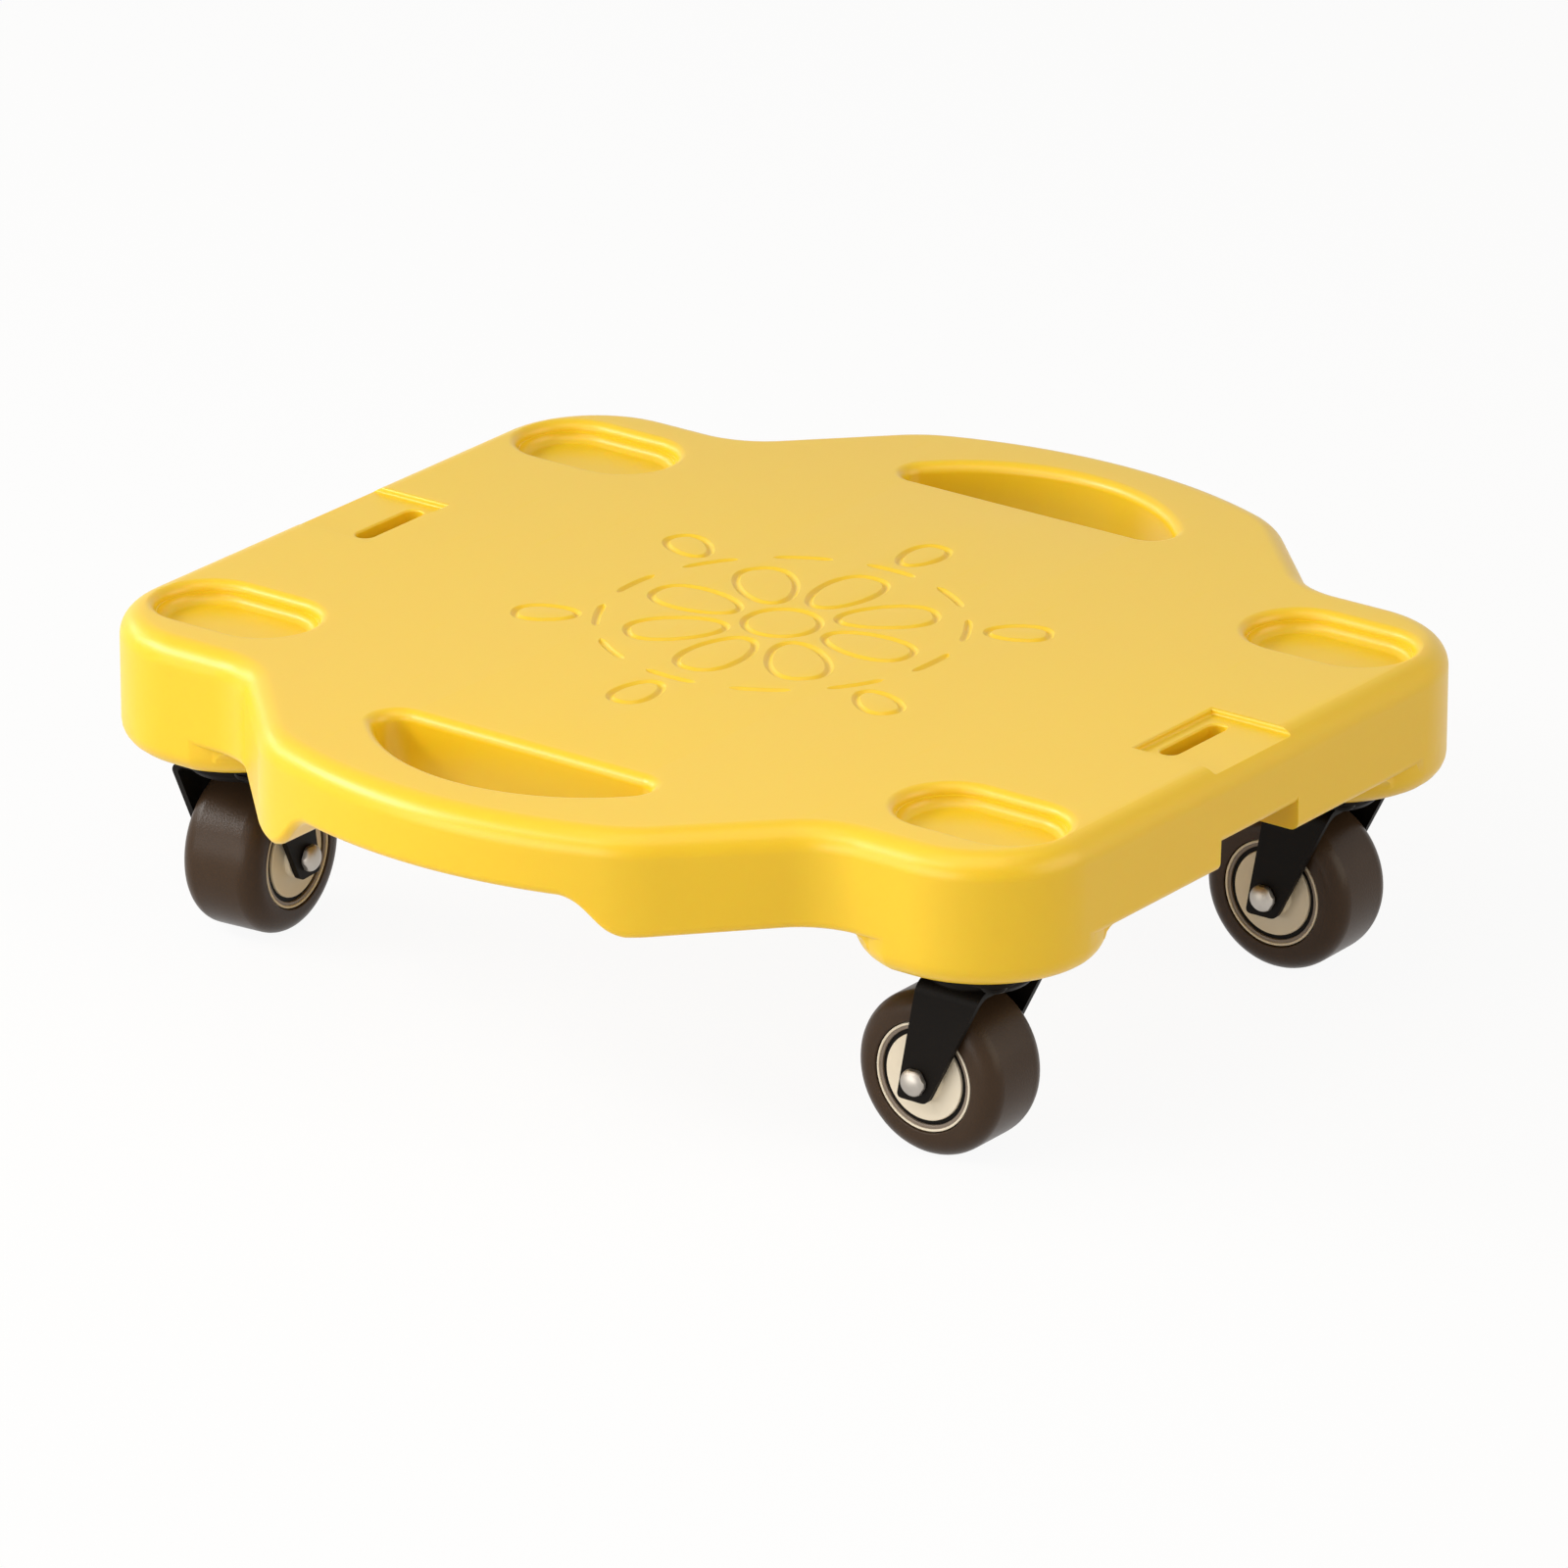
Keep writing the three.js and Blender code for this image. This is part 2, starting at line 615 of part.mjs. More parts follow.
// The fork: a bent channel, trimmed to the legs' side view, with a dished crown for the balls.
// In the caster's own frame the kingpin is the Z axis and the axle lies behind it, at +X.
function makeFork() {
  const crownHalf = legOuter;
  const straight = crownHalf - forkBendRadius;
  const footZ = axleHeight - legFootDrop;
  const innerBend = forkBendRadius - forkThickness;
  const channel = new THREE.Shape();
  channel.moveTo(-legOuter, footZ - overrun);
  channel.lineTo(-legInner, footZ - overrun);
  channel.lineTo(-legInner, crownBottom - innerBend);
  channel.absarc(innerBend - legInner, crownBottom - innerBend, innerBend, Math.PI, Math.PI / 2, true);
  channel.absarc(legInner - innerBend, crownBottom - innerBend, innerBend, Math.PI / 2, 0, true);
  channel.lineTo(legInner, footZ - overrun);
  channel.lineTo(legOuter, footZ - overrun);
  channel.lineTo(legOuter, crownTop - forkBendRadius);
  channel.absarc(straight, crownTop - forkBendRadius, forkBendRadius, 0, Math.PI / 2, false);
  channel.absarc(-straight, crownTop - forkBendRadius, forkBendRadius, Math.PI / 2, Math.PI, false);
  channel.closePath();
  const bent = new THREE.ExtrudeGeometry(channel, {
    depth: legTopRear + casterTrail + legFootFront,
    steps: 1,
    curveSegments: bendSteps,
    bevelEnabled: false,
  });
  bent.rotateX(Math.PI / 2);
  bent.rotateZ(Math.PI / 2);
  bent.translate(-legTopRear, 0, 0);

  const side = new THREE.Shape();
  const round = legFootCornerRadius;
  side.moveTo(casterTrail - legFootRear + round, footZ);
  side.lineTo(casterTrail + legFootFront - round, footZ);
  side.lineTo(casterTrail + legFootFront, footZ + round);
  side.lineTo(legTopFront, crownBottom);
  side.lineTo(legTopFront, crownTop + overrun);
  side.lineTo(-legTopRear, crownTop + overrun);
  side.lineTo(-legTopRear, crownBottom);
  side.lineTo(casterTrail - legFootRear, footZ + round);
  side.closePath();
  const trimmed = new THREE.ExtrudeGeometry(side, {
    depth: 2 * (legOuter + overrun),
    steps: 1,
    bevelEnabled: false,
  });
  trimmed.rotateX(Math.PI / 2);
  trimmed.translate(0, legOuter + overrun, 0);

  const rimTop = crownTop + crownRimHeight;
  const dish = turned(
    [[0, crownBottom], [crownRadius - crownRimWidth, crownBottom], [crownRadius, crownTop], [crownRadius, rimTop],
      [crownRadius - crownRimWidth, rimTop], [crownRadius - crownRimWidth, crownTop], [0, crownTop]],
    dishSteps,
  );
  const pinHole = kingpinRadius + runningGap;
  const kingpinHole = turned(
    [[0, crownBottom - overrun], [pinHole, crownBottom - overrun], [pinHole, crownTop + overrun],
      [0, crownTop + overrun]],
    pinSteps,
  );
  const boltHole = axleRadius + runningGap;
  const axleHole = turnedOnAxle(
    [[0, -legOuter - overrun], [boltHole, -legOuter - overrun], [boltHole, legOuter + overrun],
      [0, legOuter + overrun]],
    pinSteps,
  ).translate([casterTrail, 0, axleHeight]);
  return solid(bent).intersect(solid(trimmed)).add(dish).subtract(kingpinHole).subtract(axleHole);
}

// The bolt: a domed hex head outside one leg and a shank that ends beyond the nut
function makeBolt(side) {
  const head = legOuter + seatGap;
  const corner = boltAcrossFlats / 2 / Math.cos(Math.PI / 6);
  const headEnd = head + boltHeadHeight;
  const domeRadius = corner / 2;
  const hexHead = turnedOnAxle(
    [[0, head], [corner, head], [corner, headEnd - boltDomeHeight], [domeRadius, headEnd], [0, headEnd]],
    6,
  );
  const tail = -legOuter - seatGap - nutHeight - boltTail;
  const shank = turnedOnAxle(
    [[0, tail], [axleRadius - boltTail / 2, tail], [axleRadius, tail + boltTail / 2], [axleRadius, head + seatGap],
      [0, head + seatGap]],
    pinSteps,
  );
  return hexHead.add(shank).rotate([0, 0, side > 0 ? 0 : 180]);
}

function makeNut(side) {
  const face = -legOuter - seatGap;
  const corner = boltAcrossFlats / 2 / Math.cos(Math.PI / 6);
  const hole = axleRadius + runningGap;
  const chamfer = corner - boltAcrossFlats / 2;
  const nut = turnedOnAxle(
    [[0, face - nutHeight], [corner - chamfer, face - nutHeight], [corner, face - nutHeight + chamfer],
      [corner, face], [0, face]],
    6,
  );
  const thread = turnedOnAxle(
    [[0, face - nutHeight - overrun], [hole, face - nutHeight - overrun], [hole, face + overrun],
      [0, face + overrun]],
    pinSteps,
  );
  return nut.subtract(thread).rotate([0, 0, side > 0 ? 0 : 180]);
}

function makeBush() {
  const end = legInner - seatGap;
  const bore = axleRadius + runningGap;
  return turnedOnAxle([[bore, -end], [bushRadius, -end], [bushRadius, end], [bore, end], [bore, -end]], pinSteps);
}

// Closes a half profile, given from its outer face inwards to the wheel's middle plane, with its mirror image
function bothSides(half) {
  const other = [...half].reverse().map(([r, y]) => [r, -y]);
  const inMiddle = half[half.length - 1][1] === 0;
  const loop = [...half, ...other.slice(inMiddle ? 1 : 0)];
  return [...loop, loop[0]].reverse();
}

// The wheel's core: a boss on the bush, a disc, a ring groove, a rim ring and the ridge under the tyre
function makeHub() {
  const face = tyreHalfWidth - tyreLipHeight;
  const bossFace = legInner - 2 * seatGap;
  const bossWall = hubBore + hubBossWall;
  const ringInner = hubRadius - hubRingWidth;
  const disc = ringInner - hubGrooveWidth;
  const half = [
    [hubBore, bossFace],
    [bossWall, bossFace],
    [bossWall, face],
    [disc, face],
    [disc, face - hubGrooveDepth],
    [ringInner, face - hubGrooveDepth],
    [ringInner, face],
    [hubRadius, face],
    [hubRadius, hubRidgeHalfWidth],
    [hubRadius + hubRidgeHeight, 0],
  ];
  return turnedOnAxle(bothSides(half), hubSteps);
}

// The tyre: it fits round the hub and its ridge, and its shoulders are rounded.
// Its facets, not their edges, lie on the wheel's circle, so that it rolls and stands on flats.
function makeTyre() {
  const facet = 1 / Math.cos(Math.PI / tyreSteps);
  const seat = (hubRadius + seatGap) * facet;
  const groove = (hubRadius + hubRidgeHeight + seatGap) * facet;
  const half = [];
  for (let i = 0; i <= edgeSteps; i++) {
    const angle = (Math.PI / 2) * (i / edgeSteps);
    const radius = wheelRadius - tyreShoulderRadius + tyreShoulderRadius * Math.cos(angle);
    half.push([radius * facet, tyreHalfWidth - tyreShoulderRadius + tyreShoulderRadius * Math.sin(angle)]);
  }
  half.push([seat, tyreHalfWidth], [seat, hubRidgeHalfWidth + seatGap], [groove, 0]);
  const tread = half.map(([r, y]) => [r, -y]).reverse().slice(1);
  return turnedOnAxle([...half, ...tread, half[0]], tyreSteps, Math.PI / tyreSteps);
}

const yellowPlastic = () => new THREE.MeshStandardMaterial({ color: 0xf4c93a, roughness: 0.35, metalness: 0 });
const blackSteel = () => new THREE.MeshStandardMaterial({ color: 0x15120f, roughness: 0.45, metalness: 0.6 });
const zincSteel = () => new THREE.MeshStandardMaterial({ color: 0xc9c6bf, roughness: 0.35, metalness: 0.9 });
const brassTone = () => new THREE.MeshStandardMaterial({ color: 0xb9b2a4, roughness: 0.4, metalness: 0.9 });
const paleCore = () => new THREE.MeshStandardMaterial({ color: 0xcfc0aa, roughness: 0.5, metalness: 0 });
const darkRubber = () => new THREE.MeshStandardMaterial({ color: 0x423a33, roughness: 0.65, metalness: 0 });

function piece(name, body, material) {
  const mesh = new THREE.Mesh(geometryOf(body), material);
  mesh.name = name;
  return mesh;
}

// What one caster's wheel and fork are made of, in the caster's own frame
function makeSwivelPart(number, headSide) {
  const swivel = new THREE.Group();
  swivel.add(piece(`fork_${number}`, makeFork(), blackSteel()));
  const wheelGroup = new THREE.Group();
  wheelGroup.position.set(casterTrail, 0, axleHeight);
  wheelGroup.add(piece(`axle_bolt_${number}`, makeBolt(headSide), zincSteel()));
  wheelGroup.add(piece(`axle_nut_${number}`, makeNut(headSide), zincSteel()));
  wheelGroup.add(piece(`axle_bush_${number}`, makeBush(), brassTone()));
  wheelGroup.add(piece(`hub_${number}`, makeHub(), paleCore()));
  wheelGroup.add(piece(`tyre_${number}`, makeTyre(), darkRubber()));
  swivel.add(wheelGroup);
  return swivel;
}

const board = new THREE.Group();
board.add(piece('deck', makeDeck(), yellowPlastic()));

cornerSigns.forEach(([sx, sy], index) => {
  const number = index + 1;
  const caster = new THREE.Group();
  caster.position.set(sx * casterX, sy * casterY, 0);
  caster.add(piece(`caster_plate_${number}`, makePlate(), blackSteel()));
  caster.add(piece(`ball_race_${number}`, makeBallRace(), zincSteel()));
  caster.add(piece(`kingpin_${number}`, makeKingpin(), blackSteel()));
  cornerSigns.forEach(([px, py], screwIndex) => {
    const screw = piece(`plate_screw_${number}_${screwIndex + 1}`, makeScrew(), blackSteel());
    screw.position.set(px * screwPitchHalf, py * screwPitchHalf, 0);
    caster.add(screw);
  });
  const swivel = makeSwivelPart(number, boltHeadSides[index]);
  swivel.rotation.z = THREE.MathUtils.degToRad(restHeadings[index]);
  caster.add(swivel);
  board.add(caster);
});

export default board;
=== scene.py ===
import json
from math import acos, asin, atan2, cos, exp, hypot, pi, radians, sin, sqrt

import bmesh
import bpy
from mathutils import Matrix, Vector


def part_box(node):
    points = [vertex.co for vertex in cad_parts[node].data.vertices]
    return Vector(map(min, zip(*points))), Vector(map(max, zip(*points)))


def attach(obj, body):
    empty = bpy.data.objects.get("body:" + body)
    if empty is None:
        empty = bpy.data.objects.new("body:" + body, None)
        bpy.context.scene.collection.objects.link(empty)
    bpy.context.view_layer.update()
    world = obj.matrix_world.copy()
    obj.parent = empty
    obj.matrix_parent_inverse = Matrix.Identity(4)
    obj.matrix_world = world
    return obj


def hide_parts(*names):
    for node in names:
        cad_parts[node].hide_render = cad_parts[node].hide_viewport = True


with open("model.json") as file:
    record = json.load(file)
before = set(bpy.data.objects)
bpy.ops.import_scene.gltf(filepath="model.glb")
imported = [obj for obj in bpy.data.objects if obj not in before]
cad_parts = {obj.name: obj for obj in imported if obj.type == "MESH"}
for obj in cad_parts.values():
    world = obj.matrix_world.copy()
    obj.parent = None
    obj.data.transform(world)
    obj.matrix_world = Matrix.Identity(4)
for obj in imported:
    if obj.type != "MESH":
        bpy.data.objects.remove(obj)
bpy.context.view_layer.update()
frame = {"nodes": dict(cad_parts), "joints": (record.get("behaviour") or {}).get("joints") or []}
mm = 0.001
scene = bpy.context.scene
print("frame loaded:", len(frame["nodes"]), "nodes")


class Signal:  # one socket of a node tree, ready for sums and for the next node
    def __init__(self, tree, socket=None):
        self.tree = tree
        self.socket = socket

    def node(self, kind, values=None, settings=None, output=0):
        made = self.tree.nodes.new(kind)
        for name, value in (settings or {}).items():
            setattr(made, name, value)
        for key, value in (values or {}).items():
            if isinstance(value, Signal):
                self.tree.links.new(value.socket, made.inputs[key])
            else:
                made.inputs[key].default_value = value
        return Signal(self.tree, made.outputs[output] if made.outputs else None)

    def maths(self, operation, a, b):
        return self.node("ShaderNodeMath", {0: a, 1: b}, {"operation": operation})

    def __add__(self, other):
        return self.maths("ADD", self, other)

    def __rsub__(self, other):
        return self.maths("SUBTRACT", other, self)

    def __mul__(self, other):
        return self.maths("MULTIPLY", self, other)

    __radd__ = __add__


# finishes, each mixed from Object coordinates so nothing slides when a piece moves


def emptyGraph(owner):
    owner.use_nodes = True
    owner.node_tree.nodes.clear()
    return Signal(owner.node_tree)


def startMaterial(name):
    material = bpy.data.materials.new(name)
    graph = emptyGraph(material)
    return material, graph, graph.node("ShaderNodeTexCoord", output="Object")


def noise(graph, place, scale, detail=2.0, roughness=0.5):
    values = {"Vector": place, "Scale": scale, "Detail": detail, "Roughness": roughness}
    return graph.node("ShaderNodeTexNoise", values)


def blendColours(graph, share, first, second):
    values = {0: share, 6: first, 7: second}  # 6 and 7 are the colour sockets
    return graph.node("ShaderNodeMix", values, {"data_type": "RGBA"}, output=2)


def rampOf(graph, value, low, high):  # 0 up to low, 1 from high on
    values = {"Value": value, "From Min": low, "From Max": high}
    return graph.node("ShaderNodeMapRange", values)


def finishMaterial(graph, colour, roughness, height, bump, fixed):
    values = {"Height": height, "Strength": bump[0], "Distance": bump[1]}
    normal = graph.node("ShaderNodeBump", values)
    values = {"Base Color": colour, "Roughness": roughness, "Normal": normal, **fixed}
    shader = graph.node("ShaderNodeBsdfPrincipled", values)
    graph.node("ShaderNodeOutputMaterial", {"Surface": shader})


deckLook = {
    "yellow": (0.82, 0.545, 0.014, 1),
    "warmYellow": (0.80, 0.515, 0.010, 1),
    "paleYellow": (0.84, 0.585, 0.040, 1),
    "cloudScale": 7.0,
    "grainScale": 900.0,
    "rippleScale": 55.0,
    "scuffTurn": 0.9,
    "scuffScale": (30, 420, 30),
    "scuffRamp": (0.62, 0.78),
    "scuffShare": 0.12,
    "grainShare": 0.08,
    "roughness": 0.31,
    "cloudSwing": 0.07,
    "scuffSwing": 0.08,
    "grainHeight": 0.25,
    "rippleHeight": 0.6,
    "bump": (0.16, 0.0005),
    "fixed": {
        "IOR": 1.48,
        "Subsurface Weight": 0.30,
        "Subsurface Scale": 0.005,
        "Subsurface Radius": (1.0, 0.5, 0.1),
    },
}


def makeDeckPlastic(look):
    material, graph, place = startMaterial("moulded yellow plastic")
    clouds = noise(graph, place, look["cloudScale"], 3.0)
    grain = noise(graph, place, look["grainScale"])
    ripple = noise(graph, place, look["rippleScale"])
    values = {"Vector": place, "Rotation": (0, 0, look["scuffTurn"]), "Scale": look["scuffScale"]}
    stretch = graph.node("ShaderNodeMapping", values)
    scuffs = rampOf(graph, noise(graph, stretch, 1.0, 4.0, 0.7), *look["scuffRamp"])
    warm = blendColours(graph, clouds, look["warmYellow"], look["yellow"])
    pale = scuffs * look["scuffShare"] + grain * look["grainShare"]
    colour = blendColours(graph, pale, warm, look["paleYellow"])
    roughness = look["roughness"] + clouds * look["cloudSwing"] + scuffs * look["scuffSwing"]
    height = grain * look["grainHeight"] + ripple * look["rippleHeight"]
    finishMaterial(graph, colour, roughness, height, look["bump"], look["fixed"])
    return material


plainLooks = {  # scales are those of clouds and grain, roughness is a base and the swing that each adds
    "dark wheel rubber": {
        "scales": (40.0, 1500.0),
        "colours": ((0.034, 0.019, 0.010, 1), (0.057, 0.033, 0.018, 1)),
        "grainShare": 0.3,
        "roughness": (0.27, 0.12, 0.0),
        "bump": (0.2, 0.0003),
        "fixed": {"IOR": 1.26},
    },
    "pale wheel core plastic": {
        "scales": (60.0, 1800.0),
        "colours": ((0.74, 0.66, 0.52, 1), (0.82, 0.75, 0.62, 1)),
        "roughness": (0.40, 0.0, 0.12),
        "bump": (0.12, 0.0002),
        "fixed": {"IOR": 1.5},
    },
    "black coated steel": {
        "scales": (90.0, 2200.0),
        "colours": ((0.0042, 0.0032, 0.0025, 1), (0.0080, 0.0060, 0.0045, 1)),
        "roughness": (0.44, 0.12, 0.0),
        "bump": (0.15, 0.0002),
        "fixed": {"IOR": 1.17},
    },
    "bright zinc plated steel": {
        "scales": (300.0, 3000.0),
        "colours": ((0.38, 0.345, 0.30, 1), (0.54, 0.50, 0.45, 1)),
        "roughness": (0.40, 0.12, 0.0),
        "bump": (0.1, 0.0001),
        "fixed": {"Metallic": 1.0},
    },
    "tan rim plastic with painted shade": {  # the ring that holds the tyre: tan, and made darker and browner as painted shade of its recessed band
        "scales": (80.0, 1800.0),
        "colours": ((0.17, 0.130, 0.098, 1), (0.24, 0.188, 0.145, 1)),
        "roughness": (0.30, 0.0, 0.10),
        "bump": (0.12, 0.0002),
        "fixed": {"IOR": 1.5},
    },
}


def makePlainFinish(name):
    look = plainLooks[name]
    material, graph, place = startMaterial(name)
    clouds = noise(graph, place, look["scales"][0], 3.0)
    grain = noise(graph, place, look["scales"][1])
    grainShare = look.get("grainShare", 0.0)
    colour = blendColours(graph, clouds * (1 - grainShare) + grain * grainShare, *look["colours"])
    base, cloudSwing, grainSwing = look["roughness"]
    roughness = base + clouds * cloudSwing + grain * grainSwing
    finishMaterial(graph, colour, roughness, grain, look["bump"], look["fixed"])
    return material


deckPlastic = makeDeckPlastic(deckLook)
rubber, hubPlastic, blackSteel, zincSteel, shadedRimPlastic = [makePlainFinish(name) for name in plainLooks]
print("materials made")

# the camera stands where the photographer stood

camera = {
    "azimuth": -53.21,
    "elevation": 20.89,
    "roll": 0.06,
    "distance": 3.618,
    "focalPixels": 12286.0,
    "framePixels": 1600.0,
    "deckAt": (797.9, 635.4),  # where the middle of the deck's top falls in the frame
    "sensor": 36.0,
}


def addObject(name, data):
    piece = bpy.data.objects.new(name, data)
    scene.collection.objects.link(piece)
    return piece


def makeCamera(settings):
    turn, lift, roll = (radians(settings[k]) for k in ("azimuth", "elevation", "roll"))
    back = Vector((sin(turn) * cos(lift), -cos(turn) * cos(lift), sin(lift)))
    level = Vector((cos(turn), sin(turn), 0))
    right = cos(roll) * level + sin(roll) * back.cross(level)
    up = back.cross(right)
    target = Vector((0, 0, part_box("deck")[1].z))
    middle = settings["framePixels"] / 2
    across = (middle - settings["deckAt"][0]) / settings["focalPixels"]
    down = (middle - settings["deckAt"][1]) / settings["focalPixels"]
    newBack = (back - right * across + up * down).normalized()
    newRight = (right - newBack * right.dot(newBack)).normalized()
    newUp = newBack.cross(newRight)
    turnMatrix = Matrix((newRight, newUp, newBack)).transposed().to_4x4()
    data = bpy.data.cameras.new("camera")
    data.sensor_width = settings["sensor"]
    data.lens = settings["focalPixels"] / settings["framePixels"] * settings["sensor"]
    data.clip_end = 50
    piece = addObject("camera", data)
    piece.matrix_world = Matrix.Translation(target + back * settings["distance"]) @ turnMatrix
    scene.camera = piece


def makeLamp(name, spot, aim, size, power, colour):
    data = bpy.data.lights.new(name, "AREA")
    data.shape = "RECTANGLE"
    data.size, data.size_y = size
    data.energy = power
    data.color = colour
    lamp = addObject(name, data)
    lamp.location = spot
    lamp.rotation_euler = (Vector(aim) - Vector(spot)).to_track_quat("-Z", "Y").to_euler()


studio = {
    "ambient": 0.20,
    "ambientColour": (1.0, 0.955, 0.90, 1),
    "floorHalf": 10.0,
    "floorColour": (0.80, 0.77, 0.72, 1),
    "floorGlow": 0.93,
}
lamps = {  # name: (place, what it points at, width and height, power, colour)
    "keyLamp": ((-1.07, 1.53, 1.25), (0, 0, 0.08), (1.2, 0.45), 25.0, (1.0, 0.99, 0.97)),
    "sideLamp": ((-1.44, 0.52, 1.66), (0, 0, 0.08), (1.3, 0.36), 8.5, (1.0, 0.99, 0.97)),
    "backLamp": ((-0.07, 2.07, 0.83), (0, 0, 0.08), (1.4, 0.45), 7.0, (1.0, 0.99, 0.97)),
    "lowLamp": ((-2.24, 0.40, 0.40), (0, 0, 0.06), (2.2, 1.2), 27.0, (1.0, 0.99, 0.97)),
    "fillLamp": ((0.8, -2.4, 1.1), (0, 0, 0.05), (2.2, 1.7), 28.0, (1.0, 0.90, 0.72)),
    "nearLamp": ((-0.24, -0.17, 0.62), (-0.06, -0.06, 0.1), (0.5, 0.5), 1.2, (1.0, 0.98, 0.94)),
}


def seenDirectly(graph):  # 1 where the camera, a mirror or a clear piece looks at the background
    direct = graph.node("ShaderNodeLightPath", output="Is Camera Ray")
    mirrored = graph.node("ShaderNodeLightPath", output="Is Glossy Ray")
    through = graph.node("ShaderNodeLightPath", output="Is Transmission Ray")
    return direct.maths("MINIMUM", direct + mirrored + through, 1.0)


def makeWorld(settings):
    scene.world = bpy.data.worlds.new("studio")
    graph = emptyGraph(scene.world)
    seen = seenDirectly(graph)
    strength = seen * (1.0 - settings["ambient"]) + settings["ambient"]
    colour = blendColours(graph, seen, settings["ambientColour"], (1, 1, 1, 1))
    background = graph.node("ShaderNodeBackground", {"Color": colour, "Strength": strength})
    graph.node("ShaderNodeOutputWorld", {"Surface": background})


def makeFloor(settings):
    mesh = bpy.data.meshes.new("floor")
    half = settings["floorHalf"]
    corners = [(-half, -half, 0), (half, -half, 0), (half, half, 0), (-half, half, 0)]
    mesh.from_pydata(corners, [], [(0, 1, 2, 3)])
    floor = addObject("floor", mesh)
    material = bpy.data.materials.new("pale floor")
    graph = emptyGraph(material)
    paper = graph.node("ShaderNodeBsdfDiffuse", {"Color": settings["floorColour"]})
    white = graph.node("ShaderNodeEmission", {"Color": (1, 1, 1, 1), "Strength": 1.0})
    share = seenDirectly(graph) * settings["floorGlow"]
    mixed = graph.node("ShaderNodeMixShader", {0: share, 1: paper, 2: white})
    graph.node("ShaderNodeOutputMaterial", {"Surface": mixed})
    mesh.materials.append(material)


scene.view_settings.view_transform = "Standard"
makeCamera(camera)
makeWorld(studio)
makeFloor(studio)
for lampName, lampSettings in lamps.items():
    makeLamp(lampName, *lampSettings)
print("camera, lamps and floor made")

# shared shaping tools, all sizes in millimetres

past = 5.0  # how far a cut runs past the face that it opens
aside = 200.0  # further out than the whole board


def faceOutwards(mesh):
    shape = bmesh.new()
    shape.from_mesh(mesh)
    bmesh.ops.recalc_face_normals(shape, faces=shape.faces)
    shape.to_mesh(mesh)
    shape.free()


def solidFrom(name, vertices, faces):
    mesh = bpy.data.meshes.new(name)
    mesh.from_pydata([[c * mm for c in v] for v in vertices], [], faces)
    faceOutwards(mesh)
    return addObject(name, mesh)


def shift(piece, x, y, z=0.0):
    piece.data.transform(Matrix.Translation((x * mm, y * mm, z * mm)))


def fourCorners(x, y):
    return [(sx * x, sy * y) for sx in (1, -1) for sy in (1, -1)]


def rectangle(left, low, right, high):
    return [(left, low), (right, low), (right, high), (left, high)]


def arcPoints(centreX, centreY, radius, start, end, steps):
    turns = [start + (end - start) * i / steps for i in range(steps + 1)]
    return [(centreX + radius * cos(a), centreY + radius * sin(a)) for a in turns]


def bridge(rows, closed=False):  # the faces between rows of point numbers, each row a ring
    faces = []
    for low, high in zip(rows, rows[1:] + rows[:1] if closed else rows[1:]):
        for i in range(len(low)):
            j = (i + 1) % len(low)
            faces.append((low[i], low[j], high[j], high[i]))
    return faces


def stackLoops(name, levels):  # levels are (loop of plan points, height), lowest first
    count = len(levels[0][0])
    vertices = [(x, y, z) for loop, z in levels for x, y in loop]
    rows = [list(range(k * count, (k + 1) * count)) for k in range(len(levels))]
    return solidFrom(name, vertices, [rows[0][::-1], rows[-1]] + bridge(rows))


def revolve(name, profile, steps, alongY=False):  # a profile of (radius, height), open or closed
    closed = profile[0] == profile[-1]
    rows = profile[:-1] if closed else profile
    vertices, rings = [], []
    for r, z in rows:
        if r > 0:
            rings.append([len(vertices) + i for i in range(steps)])
            turns = [2 * pi * i / steps for i in range(steps)]
            vertices += [(r * cos(a), r * sin(a), z) for a in turns]
        else:
            rings.append([len(vertices)] * steps)
            vertices.append((0, 0, z))
    if alongY:
        vertices = [(x, z, -y) for x, y, z in vertices]
    faces = [list(dict.fromkeys(face)) for face in bridge(rings, closed)]
    return solidFrom(name, vertices, [face for face in faces if len(face) > 2])


def prismAlong(name, outline, alongX=False):  # an outline of (across, height) run from side to side
    near, far = list(range(len(outline))), list(range(len(outline), 2 * len(outline)))
    vertices = []
    for end in (-aside, aside):
        vertices += [(end, a, z) if alongX else (a, end, z) for a, z in outline]
    return solidFrom(name, vertices, [near, far[::-1]] + bridge([near, far]))


def pocket(name, x, y, halfLength, halfWidth, levels, steps, alongX=False):  # its ends are round
    loops = []
    for inset, z in levels:
        ends = arcPoints(halfLength - halfWidth, 0, halfWidth - inset, -pi / 2, pi / 2, steps)
        ends += [(-a, -b) for a, b in ends]
        loops.append(([(x + a, y + b) if alongX else (x - b, y + a) for a, b in ends], z))
    return stackLoops(name, loops)


def rod(name, radius, low, high, steps, alongY=False):
    return revolve(name, [(0, low), (radius, low), (radius, high), (0, high)], steps, alongY)


def roundTop(inset, top, radius, steps):  # points (inset, height) of a rounding, from the wall up
    turns = [pi / 2 * i / steps for i in range(steps + 1)]
    return [(inset + radius * (1 - cos(a)), top - radius + radius * sin(a)) for a in turns]


def roundFoot(inset, foot, radius, steps):  # the same upside down, ending at the wall
    return [(far, 2 * foot - z) for far, z in reversed(roundTop(inset, foot, radius, steps))]


def applyModifiers(piece):
    depsgraph = bpy.context.evaluated_depsgraph_get()
    mesh = bpy.data.meshes.new_from_object(piece.evaluated_get(depsgraph))
    piece.modifiers.clear()
    piece.data = mesh


def combine(piece, others, operation):
    for other in others:
        modifier = piece.modifiers.new(operation, "BOOLEAN")
        modifier.operation = operation
        modifier.solver = "MANIFOLD"
        modifier.object = other
    applyModifiers(piece)
    for other in others:
        bpy.data.objects.remove(other)


